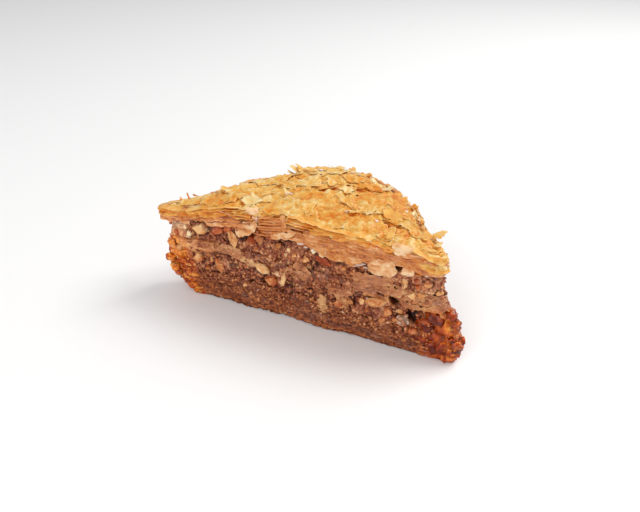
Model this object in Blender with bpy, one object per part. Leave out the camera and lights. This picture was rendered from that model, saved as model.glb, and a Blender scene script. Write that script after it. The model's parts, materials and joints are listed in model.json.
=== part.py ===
"""A triangular piece of baklava: a square cut corner to corner, five layers deep.

Frame: +X runs along the long cut face, that cut face looks towards -Y, and +Z is up. The origin
is under the middle of the piece, on the surface it rests on. Every layer is a wedge-shaped slab
that runs right through the piece, and the layers lie on each other with a hair's gap.
"""

import math
from bisect import bisect_left

import bmesh
import bpy
from mathutils import Matrix, Vector, noise

MM = 0.001

# The wedge in plan
INRADIUS = 21.5 * MM          # from the middle of the wedge to each of its three sides
LEFT_SIDE_ANGLE = 42.0        # degrees between the long face and the left short side
RIGHT_SIDE_ANGLE = 43.0       # degrees between the long face and the right short side
BACK_CORNER_ROUNDING = 3.0    # exponent: low is a broad worn corner
POINT_ROUNDING = 11.0         # exponent: high keeps the two acute points keen
LAYER_GAP = 0.36 * MM         # air between two layers, measured straight up

# Heights along the cut face, left point to right point, at five even stations (mm)
UNDERSIDE = (0.0, 0.0, 0.0, 0.0, 0.0)
BASE_TOP = (9.2, 10.2, 10.4, 8.6, 9.6)
LOWER_NUTS_TOP = (14.2, 17.6, 16.8, 15.4, 17.4)
MIDDLE_TOP = (20.0, 22.4, 20.8, 22.6, 22.4)
UPPER_NUTS_TOP = (26.8, 29.4, 29.4, 28.0, 29.6)
CRUST_TOP = (30.4, 35.0, 37.5, 36.6, 35.2)

# How far each end of the face is set back at a height (height mm, setback mm)
LEFT_SETBACK = ((0.0, 9.4), (3.0, 6.4), (7.0, 5.0), (11.0, 0.8), (15.0, 0.8), (21.0, 2.4), (25.0, 3.0),
                (28.0, 0.6), (40.0, 0.0))
RIGHT_SETBACK = ((0.0, 1.2), (5.0, 0.0), (9.0, 0.3), (12.0, 1.2), (15.0, 2.8), (18.0, 5.6), (20.0, 7.0),
                 (30.0, 8.2), (40.0, 10.0))
END_REACH = 30.0 * MM         # how far in from a point its setback fades out

# Uneven handmade surfaces
CROWN = 2.3 * MM              # rise of the crust from the cut face to its highest ridge
CROWN_FROM_FACE = 24.0 * MM   # where that ridge lies behind the cut face
SHOULDER = 3.0 * MM           # droop of the crust's rim away from the cut face
SHOULDER_START = 0.62         # where the droop begins, as a share of the way out to the rim
SHOULDER_FROM_FACE = 15.0 * MM  # how far behind the cut face the rim droops in full
CRUMPLE = 0.8 * MM            # relief of the flaky top
CRUMPLE_SIZE = 6.5 * MM
SIDE_WAVER = 0.9 * MM         # slow in-and-out of the three sides
SIDE_WAVER_SIZE = 13.0 * MM
LAYER_WAVER = 0.6 * MM        # slow up-and-down of each layer boundary
LAYER_WAVER_SIZE = 17.0 * MM
SHEET_LEDGE = 0.38 * MM       # how far alternate pastry sheets stand out at a side
NUT_LUMP = 0.6 * MM           # how far chopped nuts push a filling's side in and out
NUT_LUMP_SIZE = 4.0 * MM

# Mesh fineness: points round the rim, and ring widths on a slab's two faces, rim first
SEGMENTS = 72
BOUNDARY_RINGS = (0.22, 0.24, 0.24, 0.2)
CRUST_RINGS = (0.07, 0.12, 0.15, 0.15, 0.15, 0.15, 0.12)

LAYERS = (
    # name, bottom, top, rings on top, side rows, belly mm, sheets, colour, roughness
    ("base_pastry", UNDERSIDE, BASE_TOP, BOUNDARY_RINGS, 4, 0.5, True, (0.30, 0.12, 0.045), 0.35),
    ("lower_nut_filling", BASE_TOP, LOWER_NUTS_TOP, BOUNDARY_RINGS, 3, -0.4, False, (0.33, 0.16, 0.085), 0.50),
    ("middle_pastry", LOWER_NUTS_TOP, MIDDLE_TOP, BOUNDARY_RINGS, 2, 0.7, True, (0.42, 0.21, 0.09), 0.40),
    ("upper_nut_filling", MIDDLE_TOP, UPPER_NUTS_TOP, BOUNDARY_RINGS, 3, -0.5, False, (0.36, 0.18, 0.10), 0.50),
    ("top_pastry", UPPER_NUTS_TOP, CRUST_TOP, CRUST_RINGS, 6, 0.4, True, (0.74, 0.40, 0.12), 0.42),
)


def smooth(value):
    """Ease from 0 to 1 with flat ends."""
    value = min(max(value, 0.0), 1.0)
    return value * value * (3.0 - 2.0 * value)


def wedge_reach(angle):
    """Distance from the wedge's middle to its rounded outline in a direction."""
    left_normal = math.radians(90.0 + LEFT_SIDE_ANGLE)
    right_normal = math.radians(90.0 - RIGHT_SIDE_ANGLE)
    sides = [max(math.cos(angle - normal), 0.0) for normal in (left_normal, right_normal)]
    face = max(math.cos(angle + math.pi / 2.0), 0.0)
    back = sum(side ** BACK_CORNER_ROUNDING for side in sides) ** (1.0 / BACK_CORNER_ROUNDING)
    return INRADIUS / (back ** POINT_ROUNDING + face ** POINT_ROUNDING) ** (1.0 / POINT_ROUNDING)


def even_directions(count):
    """Directions whose points lie evenly spaced round the wedge's outline."""
    fine = 40 * count
    turns = [2.0 * math.pi * step / fine for step in range(fine + 1)]
    points = [Vector((math.cos(turn), math.sin(turn))) * wedge_reach(turn) for turn in turns]
    lengths = [0.0]
    for first, second in zip(points, points[1:]):
        lengths.append(lengths[-1] + (second - first).length)
    wanted = [lengths[-1] * step / count for step in range(count)]
    return [turns[bisect_left(lengths, length)] for length in wanted]


DIRECTIONS = even_directions(SEGMENTS)
LEFT_TIP = min(wedge_reach(angle) * math.cos(angle) for angle in DIRECTIONS)
RIGHT_TIP = max(wedge_reach(angle) * math.cos(angle) for angle in DIRECTIONS)


def along_stations(heights, x):
    """Height in metres at x, eased between evenly spaced stations along the face."""
    place = (x - LEFT_TIP) / (RIGHT_TIP - LEFT_TIP) * (len(heights) - 1)
    place = min(max(place, 0.0), len(heights) - 1.0)
    index = min(int(place), len(heights) - 2)
    blend = smooth(place - index)
    return (heights[index] * (1.0 - blend) + heights[index + 1] * blend) * MM


def setback(profile, z):
    """Setback in metres of a worn end at height z."""
    height = z / MM
    for (low, near), (high, far) in zip(profile, profile[1:]):
        if height <= high:
            return (near + (far - near) * smooth((height - low) / (high - low))) * MM
    return profile[-1][1] * MM


def outline(angle, z, bulge=0.0):
    """Point of the piece's side in a direction, at height z, pushed out by bulge."""
    reach = wedge_reach(angle) + bulge
    place = Vector((reach * math.cos(angle), INRADIUS + reach * math.sin(angle), z))
    waver = noise.noise(place / SIDE_WAVER_SIZE) * SIDE_WAVER
    x = place.x + waver * math.cos(angle)
    y = place.y + waver * math.sin(angle)
    near_left = smooth((LEFT_TIP + END_REACH - x) / END_REACH)
    near_right = smooth((x - RIGHT_TIP + END_REACH) / END_REACH)
    x += setback(LEFT_SETBACK, z) * near_left - setback(RIGHT_SETBACK, z) * near_right
    return x, y


def boundary(heights, x, y, ring):
    """Height of a layer boundary at a plan position; ring runs 0 in the middle to 1 at the rim."""
    z = along_stations(heights, x)
    if heights is UNDERSIDE:
        return z
    z += noise.noise(Vector((x, y, heights[0] * MM)) / LAYER_WAVER_SIZE) * LAYER_WAVER
    if heights is CRUST_TOP:
        rise = 1.0 - ((y - CROWN_FROM_FACE) / CROWN_FROM_FACE) ** 2
        z += CROWN * max(rise, 0.0)
        droop = smooth((ring - SHOULDER_START) / (1.0 - SHOULDER_START))
        z -= SHOULDER * droop * smooth(y / SHOULDER_FROM_FACE)
        z += noise.noise(Vector((x, y, z)) / CRUMPLE_SIZE) * CRUMPLE
    return z


def rim_height(heights, angle):
    """Height of a layer boundary where it meets the side in a direction."""
    x, y = outline(angle, max(heights) * MM)
    return boundary(heights, x, y, 1.0)


def side_bulge(angle, level, belly, sheets, side_rows, z):
    """How far a layer's side stands out between its two boundaries (level 0 to 1)."""
    if not 0.001 < level < 0.999:
        return 0.0
    bulge = belly * MM * math.sin(math.pi * level)
    if sheets:
        return bulge + (SHEET_LEDGE if round(level * side_rows) % 2 else -SHEET_LEDGE)
    reach = wedge_reach(angle)
    place = Vector((reach * math.cos(angle), reach * math.sin(angle), z))
    return bulge + noise.noise(place / NUT_LUMP_SIZE) * NUT_LUMP


def disc_slab(lower_rings, upper_rings, side_rows):
    """Unit disc, 1 high, with concentric rings on both faces and rows round its side."""
    slab = bmesh.new()
    bmesh.ops.create_cone(
        slab, cap_ends=True, segments=SEGMENTS, radius1=1.0, radius2=1.0, depth=1.0,
        matrix=Matrix.Translation((0.0, 0.0, 0.5)),
    )
    uprights = [edge for edge in slab.edges if abs(edge.verts[0].co.z - edge.verts[1].co.z) > 0.5]
    bmesh.ops.subdivide_edges(slab, edges=uprights, cuts=side_rows - 1, use_grid_fill=True)
    caps = sorted((face for face in slab.faces if abs(face.normal.z) > 0.9), key=lambda cap: cap.normal.z)
    for cap, rings in zip(caps, (lower_rings, upper_rings)):
        for width in rings:
            bmesh.ops.inset_region(slab, faces=[cap], thickness=width, use_even_offset=False)
    bmesh.ops.poke(slab, faces=caps)
    return slab


def shape_slab(slab, lower, upper, side_rows, belly, sheets):
    """Move every vertex of the unit slab to its place in the wedge-shaped layer."""
    for vertex in slab.verts:
        ring = min(math.hypot(vertex.co.x, vertex.co.y), 1.0)
        level = vertex.co.z
        turn = math.atan2(vertex.co.y, vertex.co.x) / (2.0 * math.pi)
        angle = DIRECTIONS[round(turn * SEGMENTS) % SEGMENTS]
        z_rim = rim_height(lower, angle) * (1.0 - level) + rim_height(upper, angle) * level
        bulge = side_bulge(angle, level, belly, sheets, side_rows, z_rim)
        rim_x, rim_y = outline(angle, z_rim, bulge)
        x = rim_x * ring
        y = INRADIUS + (rim_y - INRADIUS) * ring
        z_low = boundary(lower, x, y, ring)
        if lower is not UNDERSIDE:
            z_low += LAYER_GAP / 2.0
        z_high = boundary(upper, x, y, ring)
        if upper is not CRUST_TOP:
            z_high -= LAYER_GAP / 2.0
        vertex.co = Vector((x, y, z_low * (1.0 - level) + z_high * level))


def make_material(name, colour, roughness):
    """Plain moist-food finish."""
    material = bpy.data.materials.new(name)
    material.use_nodes = True
    shader = material.node_tree.nodes["Principled BSDF"]
    shader.inputs["Base Color"].default_value = (*colour, 1.0)
    shader.inputs["Roughness"].default_value = roughness
    shader.inputs["Metallic"].default_value = 0.0
    return material


def make_layer(collection, name, lower, upper, upper_rings, side_rows, belly, sheets, colour, roughness):
    """One layer of the piece as its own closed object."""
    slab = disc_slab(BOUNDARY_RINGS, upper_rings, side_rows)
    shape_slab(slab, lower, upper, side_rows, belly, sheets)
    bmesh.ops.triangulate(slab, faces=slab.faces[:])
    bmesh.ops.recalc_face_normals(slab, faces=slab.faces[:])
    data = bpy.data.meshes.new(name)
    slab.to_mesh(data)
    slab.free()
    data.shade_smooth()
    data.set_sharp_from_angle(angle=math.radians(40.0))
    data.materials.append(make_material(name, colour, roughness))
    layer = bpy.data.objects.new(name, data)
    collection.objects.link(layer)
    return layer


def centre_on_origin(layers):
    """Put the middle of the piece's footprint box on the origin, its underside at z = 0."""
    points = [vertex.co for layer in layers for vertex in layer.data.vertices]
    middle_x = (min(point.x for point in points) + max(point.x for point in points)) / 2.0
    middle_y = (min(point.y for point in points) + max(point.y for point in points)) / 2.0
    for layer in layers:
        layer.data.transform(Matrix.Translation((-middle_x, -middle_y, 0.0)))


def main():
    for item in list(bpy.data.objects):
        bpy.data.objects.remove(item)
    collection = bpy.data.collections.new("baklava_piece")
    bpy.context.scene.collection.children.link(collection)
    centre_on_origin([make_layer(collection, *layer) for layer in LAYERS])


main()
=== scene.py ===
# %% [markdown]
# # A piece of baklava
#
# Half a square of baklava, cut corner to corner: soaked leaves at the bottom, two fillings of
# chopped nuts with soft leaves between them, and a tall crisp crust that has cracked into flakes.
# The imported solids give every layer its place. This script gives each layer its real surface.

import json
import math
import random

import bmesh
import bpy
import numpy as np
from mathutils import Matrix, Vector, noise
from mathutils.bvhtree import BVHTree

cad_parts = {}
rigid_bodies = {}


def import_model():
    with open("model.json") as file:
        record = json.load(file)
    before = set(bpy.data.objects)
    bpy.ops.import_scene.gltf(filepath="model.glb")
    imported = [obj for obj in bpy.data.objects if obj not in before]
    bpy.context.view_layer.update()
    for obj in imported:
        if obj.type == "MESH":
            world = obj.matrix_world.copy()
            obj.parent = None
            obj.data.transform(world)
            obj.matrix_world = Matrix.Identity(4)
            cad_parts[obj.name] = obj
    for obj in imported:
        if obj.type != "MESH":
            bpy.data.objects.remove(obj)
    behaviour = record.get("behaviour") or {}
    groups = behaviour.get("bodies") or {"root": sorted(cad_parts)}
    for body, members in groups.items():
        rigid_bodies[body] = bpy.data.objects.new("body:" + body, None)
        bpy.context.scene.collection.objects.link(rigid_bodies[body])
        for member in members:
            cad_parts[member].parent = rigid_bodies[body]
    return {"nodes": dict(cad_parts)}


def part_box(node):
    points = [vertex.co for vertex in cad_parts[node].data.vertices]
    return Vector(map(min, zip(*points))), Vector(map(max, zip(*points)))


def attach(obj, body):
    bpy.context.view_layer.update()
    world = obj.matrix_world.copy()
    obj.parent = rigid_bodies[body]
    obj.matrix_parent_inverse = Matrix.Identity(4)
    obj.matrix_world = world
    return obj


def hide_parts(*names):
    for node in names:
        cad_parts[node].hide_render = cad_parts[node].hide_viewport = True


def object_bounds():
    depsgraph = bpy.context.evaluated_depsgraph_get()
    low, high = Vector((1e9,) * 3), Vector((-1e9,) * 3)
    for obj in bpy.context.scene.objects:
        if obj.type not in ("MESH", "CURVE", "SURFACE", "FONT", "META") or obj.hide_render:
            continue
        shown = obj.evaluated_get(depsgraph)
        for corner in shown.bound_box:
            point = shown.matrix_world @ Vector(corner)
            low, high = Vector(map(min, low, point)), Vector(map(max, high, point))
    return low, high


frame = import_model()
cad_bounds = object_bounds()
MM = 0.001

print("solids", sorted(frame["nodes"]), "box", [round(v / MM, 1) for corner in cad_bounds for v in corner])

# %% [markdown]
# ## Looking at the piece
#
# The camera stands a hand's breadth and a half away, a little to the right of the long cut face and
# well above it. So near, the perspective is strong, and a wide lens is needed. It goes in first,
# because every later choice of fineness depends on how large a millimetre is in the picture.

# %% Camera
AIM = Vector((1.7, -10.8, 18.9)) * MM
CAMERA_DISTANCE = 195.3 * MM
CAMERA_AZIMUTH = math.radians(21.9)
CAMERA_ELEVATION = math.radians(32.6)
CAMERA_ROLL = math.radians(1.5)
LENS_MM, SENSOR_MM = 33.75, 36

towards_camera = Vector((
    math.sin(CAMERA_AZIMUTH) * math.cos(CAMERA_ELEVATION),
    -math.cos(CAMERA_AZIMUTH) * math.cos(CAMERA_ELEVATION),
    math.sin(CAMERA_ELEVATION),
))
camera_data = bpy.data.cameras.new("camera")
camera_data.lens = LENS_MM
camera_data.clip_start = 0.01
camera = bpy.data.objects.new("camera", camera_data)
bpy.context.scene.collection.objects.link(camera)
facing = towards_camera.to_track_quat("Z", "Y").to_matrix() @ Matrix.Rotation(CAMERA_ROLL, 3, "Z")
camera.matrix_world = Matrix.Translation(AIM + towards_camera * CAMERA_DISTANCE) @ facing.to_4x4()
bpy.context.scene.camera = camera
print("one millimetre is", round(LENS_MM / SENSOR_MM / CAMERA_DISTANCE, 1), "thousandths of the picture wide")

# %% [markdown]
# ## Floor and light
#
# A plain pale floor and large soft lamps, as in a studio for food. The biggest lamp hangs
# above and behind on the right, so it skims the crust and leaves the cut face in gentle shade, and
# the soft shadow falls to the left. The Standard view transform keeps the browns as they are mixed.

# %% Floor, lamps and world
FLOOR_SIZE = 3.0
FLOOR_GREY, FLOOR_ROUGHNESS = 0.88, 0.6
SKY_COLOUR, SKY_STRENGTH = (0.97, 0.98, 1.0, 1.0), 0.55
LIT_POINT = Vector((0.0, 0.0, 0.02))


def deselect_all():
    """Nothing selected: operators act on all that is, and a new primitive is added to it."""
    bpy.ops.object.select_all(action="DESELECT")


def area_lamp(name, place, size, power, colour):
    """Square soft lamp at a place, turned to the piece."""
    data = bpy.data.lights.new(name, "AREA")
    data.size, data.energy, data.color = size, power, colour
    lamp = bpy.data.objects.new(name, data)
    bpy.context.scene.collection.objects.link(lamp)
    place = Vector(place)
    facing = (place - LIT_POINT).to_track_quat("Z", "Y").to_matrix().to_4x4()
    lamp.matrix_world = Matrix.Translation(place) @ facing


deselect_all()
bpy.ops.mesh.primitive_plane_add(size=FLOOR_SIZE, location=(0.0, 0.0, -0.0002))
floor = bpy.context.active_object
floor.name = "floor"
floor.data.transform(floor.matrix_world)
floor.matrix_world = Matrix.Identity(4)
floor_paint = bpy.data.materials.new("floor_paint")
floor_paint.use_nodes = True
floor_shader = floor_paint.node_tree.nodes["Principled BSDF"]
floor_shader.inputs["Base Color"].default_value = (FLOOR_GREY, FLOOR_GREY, FLOOR_GREY, 1.0)
floor_shader.inputs["Roughness"].default_value = FLOOR_ROUGHNESS
floor.data.materials.append(floor_paint)

area_lamp("key_lamp", (0.35, 0.32, 0.62), 0.45, 4.2, (1.0, 0.98, 0.95))
area_lamp("front_fill", (-0.10, -0.75, 0.45), 0.60, 3.4, (1.0, 0.98, 0.96))
world = bpy.data.worlds.new("studio")
bpy.context.scene.world = world
world.use_nodes = True
world.node_tree.nodes["Background"].inputs["Color"].default_value = SKY_COLOUR
world.node_tree.nodes["Background"].inputs["Strength"].default_value = SKY_STRENGTH
bpy.context.scene.view_settings.view_transform = "Standard"
print(len(bpy.data.lights), "lamps and a floor", FLOOR_SIZE, "m wide")

# %% [markdown]
# ## Reading a layer's shape
#
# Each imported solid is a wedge-shaped slab. Its new surface has to follow the same sides, floor and
# roof, so rays are cast at the solid: from outside towards its middle for the sides, and straight
# down and up for the roof and floor. The answers go in small tables, evenly spaced round the rim, so
# that later cells can ask for a point by how far round it is and how high up the layer.

# %% Rays against the solids
STATIONS = 960
LEVELS = 13
UP = Vector((0.0, 0.0, 1.0))
low_corner, high_corner = (Vector(corner) for corner in cad_bounds)
MIDDLE = Vector((0.0, low_corner.y + 0.45 * (high_corner.y - low_corner.y), 0.0))


def ray_tree(*meshes):
    """Ray tree of one or more meshes taken together."""
    points, faces = [], []
    for mesh in meshes:
        start = len(points)
        points += [vertex.co.copy() for vertex in mesh.vertices]
        faces += [[start + index for index in face.vertices] for face in mesh.polygons]
    return BVHTree.FromPolygons(points, faces)


class LayerShape:
    """Sides, floor and roof of one packed layer."""

    def __init__(self, node):
        self.tree = ray_tree(frame["nodes"][node].data)
        coarse = [2.0 * math.pi * step / (2 * STATIONS) for step in range(2 * STATIONS)]
        reaches = [self.plan_reach(angle) for angle in coarse]
        points = np.array([[r * math.cos(a), r * math.sin(a)] for r, a in zip(reaches, coarse)])
        steps = np.linalg.norm(np.roll(points, -1, axis=0) - points, axis=1)
        along = np.concatenate([[0.0], np.cumsum(steps)])
        self.length = float(along[-1])
        angles = np.interp(np.arange(STATIONS) / STATIONS * self.length, along, coarse + [2.0 * math.pi])
        self.reach = np.zeros((STATIONS, LEVELS))
        self.low, self.high = np.zeros((2, STATIONS))
        for index, angle in enumerate(angles):
            self.read_station(index, angle, float(np.interp(angle, coarse, reaches)))
        ways = np.stack([np.cos(angles), np.sin(angles)], axis=1)
        self.rim = MIDDLE.y * np.array([0.0, 1.0]) + self.reach[:, :, None] * ways[:, None, :]
        plan = self.rim.mean(axis=1)
        tangent = np.roll(plan, -6, axis=0) - np.roll(plan, 6, axis=0)
        tangent /= np.linalg.norm(tangent, axis=1)[:, None]
        self.outward = np.stack([tangent[:, 1], -tangent[:, 0]], axis=1)

    def height_at(self, x, y, top=True):
        """Height of the roof, or of the floor, at a place seen from above; None past the rim."""
        start, way = (0.1, -UP) if top else (-0.01, UP)
        hit = self.tree.ray_cast(Vector((x, y, start)), way)[0]
        return None if hit is None else hit.z

    def plan_reach(self, angle):
        """How far the layer reaches from the middle in a direction, seen from above."""
        near, far = 0.0, 0.09
        for _ in range(11):
            half = (near + far) / 2.0
            height = self.height_at(MIDDLE.x + half * math.cos(angle), MIDDLE.y + half * math.sin(angle))
            near, far = (half, far) if height is not None else (near, half)
        return near

    def read_station(self, index, angle, plan):
        """Floor, roof and sideways reach at every level, in one direction."""
        way = Vector((math.cos(angle), math.sin(angle), 0.0))
        inside = MIDDLE + way * (plan - (1.5 * MM + 0.1 * plan))
        self.low[index] = self.height_at(inside.x, inside.y, top=False)
        self.high[index] = self.height_at(inside.x, inside.y)
        for level in range(LEVELS):
            share = 0.03 + 0.94 * level / (LEVELS - 1)
            start = MIDDLE + way * (plan + 0.01)
            start.z = self.low[index] + (self.high[index] - self.low[index]) * share
            hit = self.tree.ray_cast(start, -way)[0]
            distance = plan if hit is None else (hit - MIDDLE).xy.length
            self.reach[index, level] = distance if distance > 0.8 * plan else plan

    def side_points(self, share, level, out=0.0):
        """Points on the side: share of the way round, level 0 to 1, distance outwards."""
        share, level, out = np.broadcast_arrays(np.atleast_1d(share), level, out)
        station = np.mod(share, 1.0) * STATIONS
        first = station.astype(int) % STATIONS
        second = (first + 1) % STATIONS
        part = (station - np.floor(station))[:, None]
        row = np.clip(level, 0.0, 1.0) * (LEVELS - 1)
        row_low = np.minimum(row.astype(int), LEVELS - 2)
        lift = (row - row_low)[:, None]
        near, far = (self.rim[side, row_low] * (1 - lift) + self.rim[side, row_low + 1] * lift
                     for side in (first, second))
        plan = near * (1 - part) + far * part + self.outward[first] * out[:, None]
        low, high = (ends[first] * (1 - part[:, 0]) + ends[second] * part[:, 0]
                     for ends in (self.low, self.high))
        return np.column_stack([plan, low + (high - low) * level])


shapes = {node: LayerShape(node) for node in frame["nodes"]}
print({node: round(shape.length / MM, 1) for node, shape in shapes.items()}, "mm round")

# %% [markdown]
# ## A fine slab to carve
#
# Every layer starts as the same kind of blank: a circle, extruded upwards in many thin rows, then
# closed at both ends with rings that shrink to the middle. Only the side is fine, because the roof
# and floor are covered by the next layer. Leaf edges and hanging skins start from the same circle.

# %% Blank slab
SLAB_STATIONS = 900
FEW_RINGS = (0.985, 0.9, 0.6, 0.25)


def named(piece, name):
    piece.name = piece.data.name = name
    return piece


def unit_loop(name, corners):
    """A circle of edges of radius 1, left open in edit mode with all of it selected."""
    deselect_all()
    bpy.ops.mesh.primitive_circle_add(vertices=corners, radius=1.0, fill_type="NOTHING")
    piece = named(bpy.context.active_object, name)
    bpy.ops.object.mode_set(mode="EDIT")
    bpy.ops.mesh.select_all(action="SELECT")
    return piece


def raise_rows(rows):
    """Extrude the selected loop upwards by 1, in equal rows."""
    for _ in range(rows):
        bpy.ops.mesh.extrude_region_move(TRANSFORM_OT_translate={"value": (0.0, 0.0, 1.0 / rows)})


def shrink_rings(rings):
    """Extrude the selected loop of radius 1 inwards, ring by ring."""
    radius = 1.0
    for ring in rings:
        bpy.ops.mesh.extrude_region_move()
        bpy.ops.transform.resize(value=(ring / radius, ring / radius, 1.0), center_override=(0.0, 0.0, 0.0))
        radius = ring


def leave_edit():
    """Point all faces the same way and go back to object mode."""
    bpy.ops.mesh.select_all(action="SELECT")
    bpy.ops.mesh.normals_make_consistent(inside=False)
    bpy.ops.object.mode_set(mode="OBJECT")


def blank_slab(name, rows, rings):
    """Unit drum: rows up its side, rings on its roof and floor."""
    piece = unit_loop(name, SLAB_STATIONS)
    raise_rows(rows)
    shrink_rings(rings)
    bpy.ops.mesh.merge(type="CENTER")
    bpy.ops.mesh.select_all(action="DESELECT")
    mesh = bmesh.from_edit_mesh(piece.data)
    for vertex in mesh.verts:
        vertex.select = vertex.co.z < 0.5 / rows and vertex.co.xy.length > 0.99
    mesh.select_mode = {"VERT"}
    mesh.select_flush_mode()
    bmesh.update_edit_mesh(piece.data)
    shrink_rings(rings)
    bpy.ops.mesh.merge(type="CENTER")
    leave_edit()
    return piece


print("blanks have", SLAB_STATIONS, "points round")

# %% [markdown]
# ## Steady noise
#
# Crumbs, creases and torn edges are all uneven in their own way, yet must come out the same on every
# run. Blender's own noise is slow when asked point by point, so noise for many points at once is
# worked out here with numpy, from small tables of random numbers with a fixed seed.

# %% Noise for many points
SHUFFLED = np.random.RandomState(7).permutation(256)
SLOPES = np.random.RandomState(8).normal(size=(3, 256))
SLOPES /= np.linalg.norm(SLOPES, axis=0)
CENTRES = np.random.RandomState(9).random_sample((3, 256))


def in_lattice(points, size, seed):
    """Places in a space lattice of a given size (mm), and the lattice corner below each (3 rows)."""
    place = (np.asarray(points) / (size * MM) + seed * np.array([7.3, 3.1, 5.7])).T
    return place, np.floor(place).astype(np.int64)


def corner_lots(cell, steps):
    """Every corner's steps from the cell, with a steady lot of 0 to 255 for that corner."""
    for step_x in steps:
        row = SHUFFLED[(cell[0] + step_x) & 255]
        for step_y in steps:
            column = SHUFFLED[(row + cell[1] + step_y) & 255]
            for step_z in steps:
                yield (step_x, step_y, step_z), SHUFFLED[(column + cell[2] + step_z) & 255]


def noise_at(points, size, seed):
    """Smooth noise, about -1 to 1, at each point, with features of a given size (mm)."""
    place, cell = in_lattice(points, size, seed)
    inside = place - cell
    fade = inside ** 3 * (inside * (inside * 6.0 - 15.0) + 10.0)
    shares = (1.0 - fade, fade)
    total = np.zeros(place.shape[1])
    for (x, y, z), lot in corner_lots(cell, (0, 1)):
        slope = (SLOPES[0][lot] * (inside[0] - x) + SLOPES[1][lot] * (inside[1] - y)
                 + SLOPES[2][lot] * (inside[2] - z))
        total += slope * shares[x][0] * shares[y][1] * shares[z][2]
    return 1.5 * total


def cells_at(points, size, seed):
    """For each point: distance to the nearest crumb's middle, how much farther the next crumb is,
    and the nearest one's own lot, 0 to 1."""
    place, cell = in_lattice(points, size, seed)
    inside = place - cell
    near, following, chosen = (np.full(place.shape[1], start) for start in (9.0, 9.0, 0.0))
    for (x, y, z), lot in corner_lots(cell, (-1, 0, 1)):
        distance = np.sqrt((inside[0] - x - CENTRES[0][lot]) ** 2 + (inside[1] - y - CENTRES[1][lot]) ** 2
                           + (inside[2] - z - CENTRES[2][lot]) ** 2)
        closer = distance < near
        following = np.where(closer, near, np.minimum(following, distance))
        chosen = np.where(closer, lot + 0.37 * SHUFFLED[(lot + cell[0] + x) & 255], chosen)
        near = np.where(closer, distance, near)
    return near, following - near, np.mod(chosen / 97.3, 1.0)


def hashed(numbers, seed):
    """A steady random number 0 to 1 for each whole number."""
    return np.mod(np.sin(numbers * 12.9898 + seed * 78.233) * 43758.5453, 1.0)


def clamp(value, high=1.0):
    return np.clip(value, 0.0, high)


def ease(value):
    """0 to 1 with flat ends."""
    value = clamp(value)
    return value * value * (3.0 - 2.0 * value)


def blend(first, second, share):
    return first + (second - first) * share


print("noise of a point:", round(float(noise_at([(0.01, 0.02, 0.03)], 1.7, 0)[0]), 3))

# %% [markdown]
# ## Bending the blank onto a layer
#
# A carver looks at each point of the blank's side and answers how far it stands out and what numbers
# it stores for the material. The floor and roof keep the solid's heights. A filling's own floor and
# roof reach a little past the layer, to close the hairline gaps between the solids.

# %% Bending


def read_points(piece):
    flat = np.zeros(len(piece.data.vertices) * 3)
    piece.data.vertices.foreach_get("co", flat)
    return flat.reshape(-1, 3)


def write_points(piece, points):
    piece.data.vertices.foreach_set("co", np.ascontiguousarray(points).ravel())
    piece.data.update()


def write_values(piece, **values):
    """Store numbers per point, such as tone and hollow, for the material to read."""
    for name, numbers in values.items():
        attribute = piece.data.attributes.new(name, "FLOAT", "POINT")
        attribute.data.foreach_set("value", np.ascontiguousarray(numbers, dtype=np.float32))


def round_drum(unit):
    """Each drum point's distance from the axis and its share of the way round."""
    share = np.mod(np.arctan2(unit[:, 1], unit[:, 0]) / (2.0 * math.pi), 1.0)
    return np.hypot(unit[:, 0], unit[:, 1]), share


def bend_slab(piece, shape, carve, inset=0.0, spread=0.0, sink=0.0):
    """Bend a blank onto a layer; carve(points, level) gives its relief and stored values.

    Its floor and roof reach past the layer's by up to spread, and sink lowers its roof.
    """
    unit = read_points(piece)
    ring, share = round_drum(unit)
    level = unit[:, 2]
    on_side = ring > 0.999
    out, values = carve(shape.side_points(share, level), level)
    placed = shape.side_points(share, level, out - inset)
    ragged = 0.5 + noise_at(placed * [1.0, 1.0, 0.0], 3.0, 2) + 0.4 * noise_at(placed, 1.1, 4)
    placed[:, 2] += on_side * (2.0 * level - 1.0) * spread * ragged
    for index in np.nonzero(~on_side)[0]:
        x = placed[index, 0] * ring[index]
        y = MIDDLE.y + (placed[index, 1] - MIDDLE.y) * ring[index]
        z = shape.height_at(x, y, top=level[index] > 0.5)
        placed[index] = (x, y, placed[index, 2] if z is None else z)
    placed[:, 2] -= sink * level
    write_points(piece, placed)
    write_values(piece, **values)
    piece.data.shade_smooth()
    return piece


print("blank ready")

# %% [markdown]
# ## Shared finishes
#
# Two effects come back in nearly every material of this piece, so each is a small node group: the
# fine crumb of baked food and the patchy shine of syrup. The groups give out masks and heights only,
# and each material decides what to do with them.

# %% Node helpers


def feed(tree, node, inputs):
    """Give a node's inputs numbers, colours or other nodes' outputs."""
    for name, value in inputs.items():
        if isinstance(value, bpy.types.NodeSocket):
            tree.links.new(value, node.inputs[name])
        else:
            node.inputs[name].default_value = value


def add_node(tree, kind, inputs=None, **settings):
    node = tree.nodes.new("ShaderNode" + kind)
    for name, value in settings.items():
        setattr(node, name, value)
    feed(tree, node, inputs or {})
    return node


def add_noise(tree, scale, detail):
    place = add_node(tree, "TexCoord").outputs["Object"]
    inputs = {"Vector": place, "Scale": scale, "Detail": detail, "Roughness": 0.6}
    return add_node(tree, "TexNoise", inputs).outputs["Fac"]


def add_range(tree, value, low, high, to_low=0.0, to_high=1.0):
    inputs = {"Value": value, "From Min": low, "From Max": high, "To Min": to_low, "To Max": to_high}
    return add_node(tree, "MapRange", inputs).outputs["Result"]


def add_math(tree, operation, first, second):
    return add_node(tree, "Math", {0: first, 1: second}, operation=operation).outputs[0]


print("node helpers ready")

# %% Node groups


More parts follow.
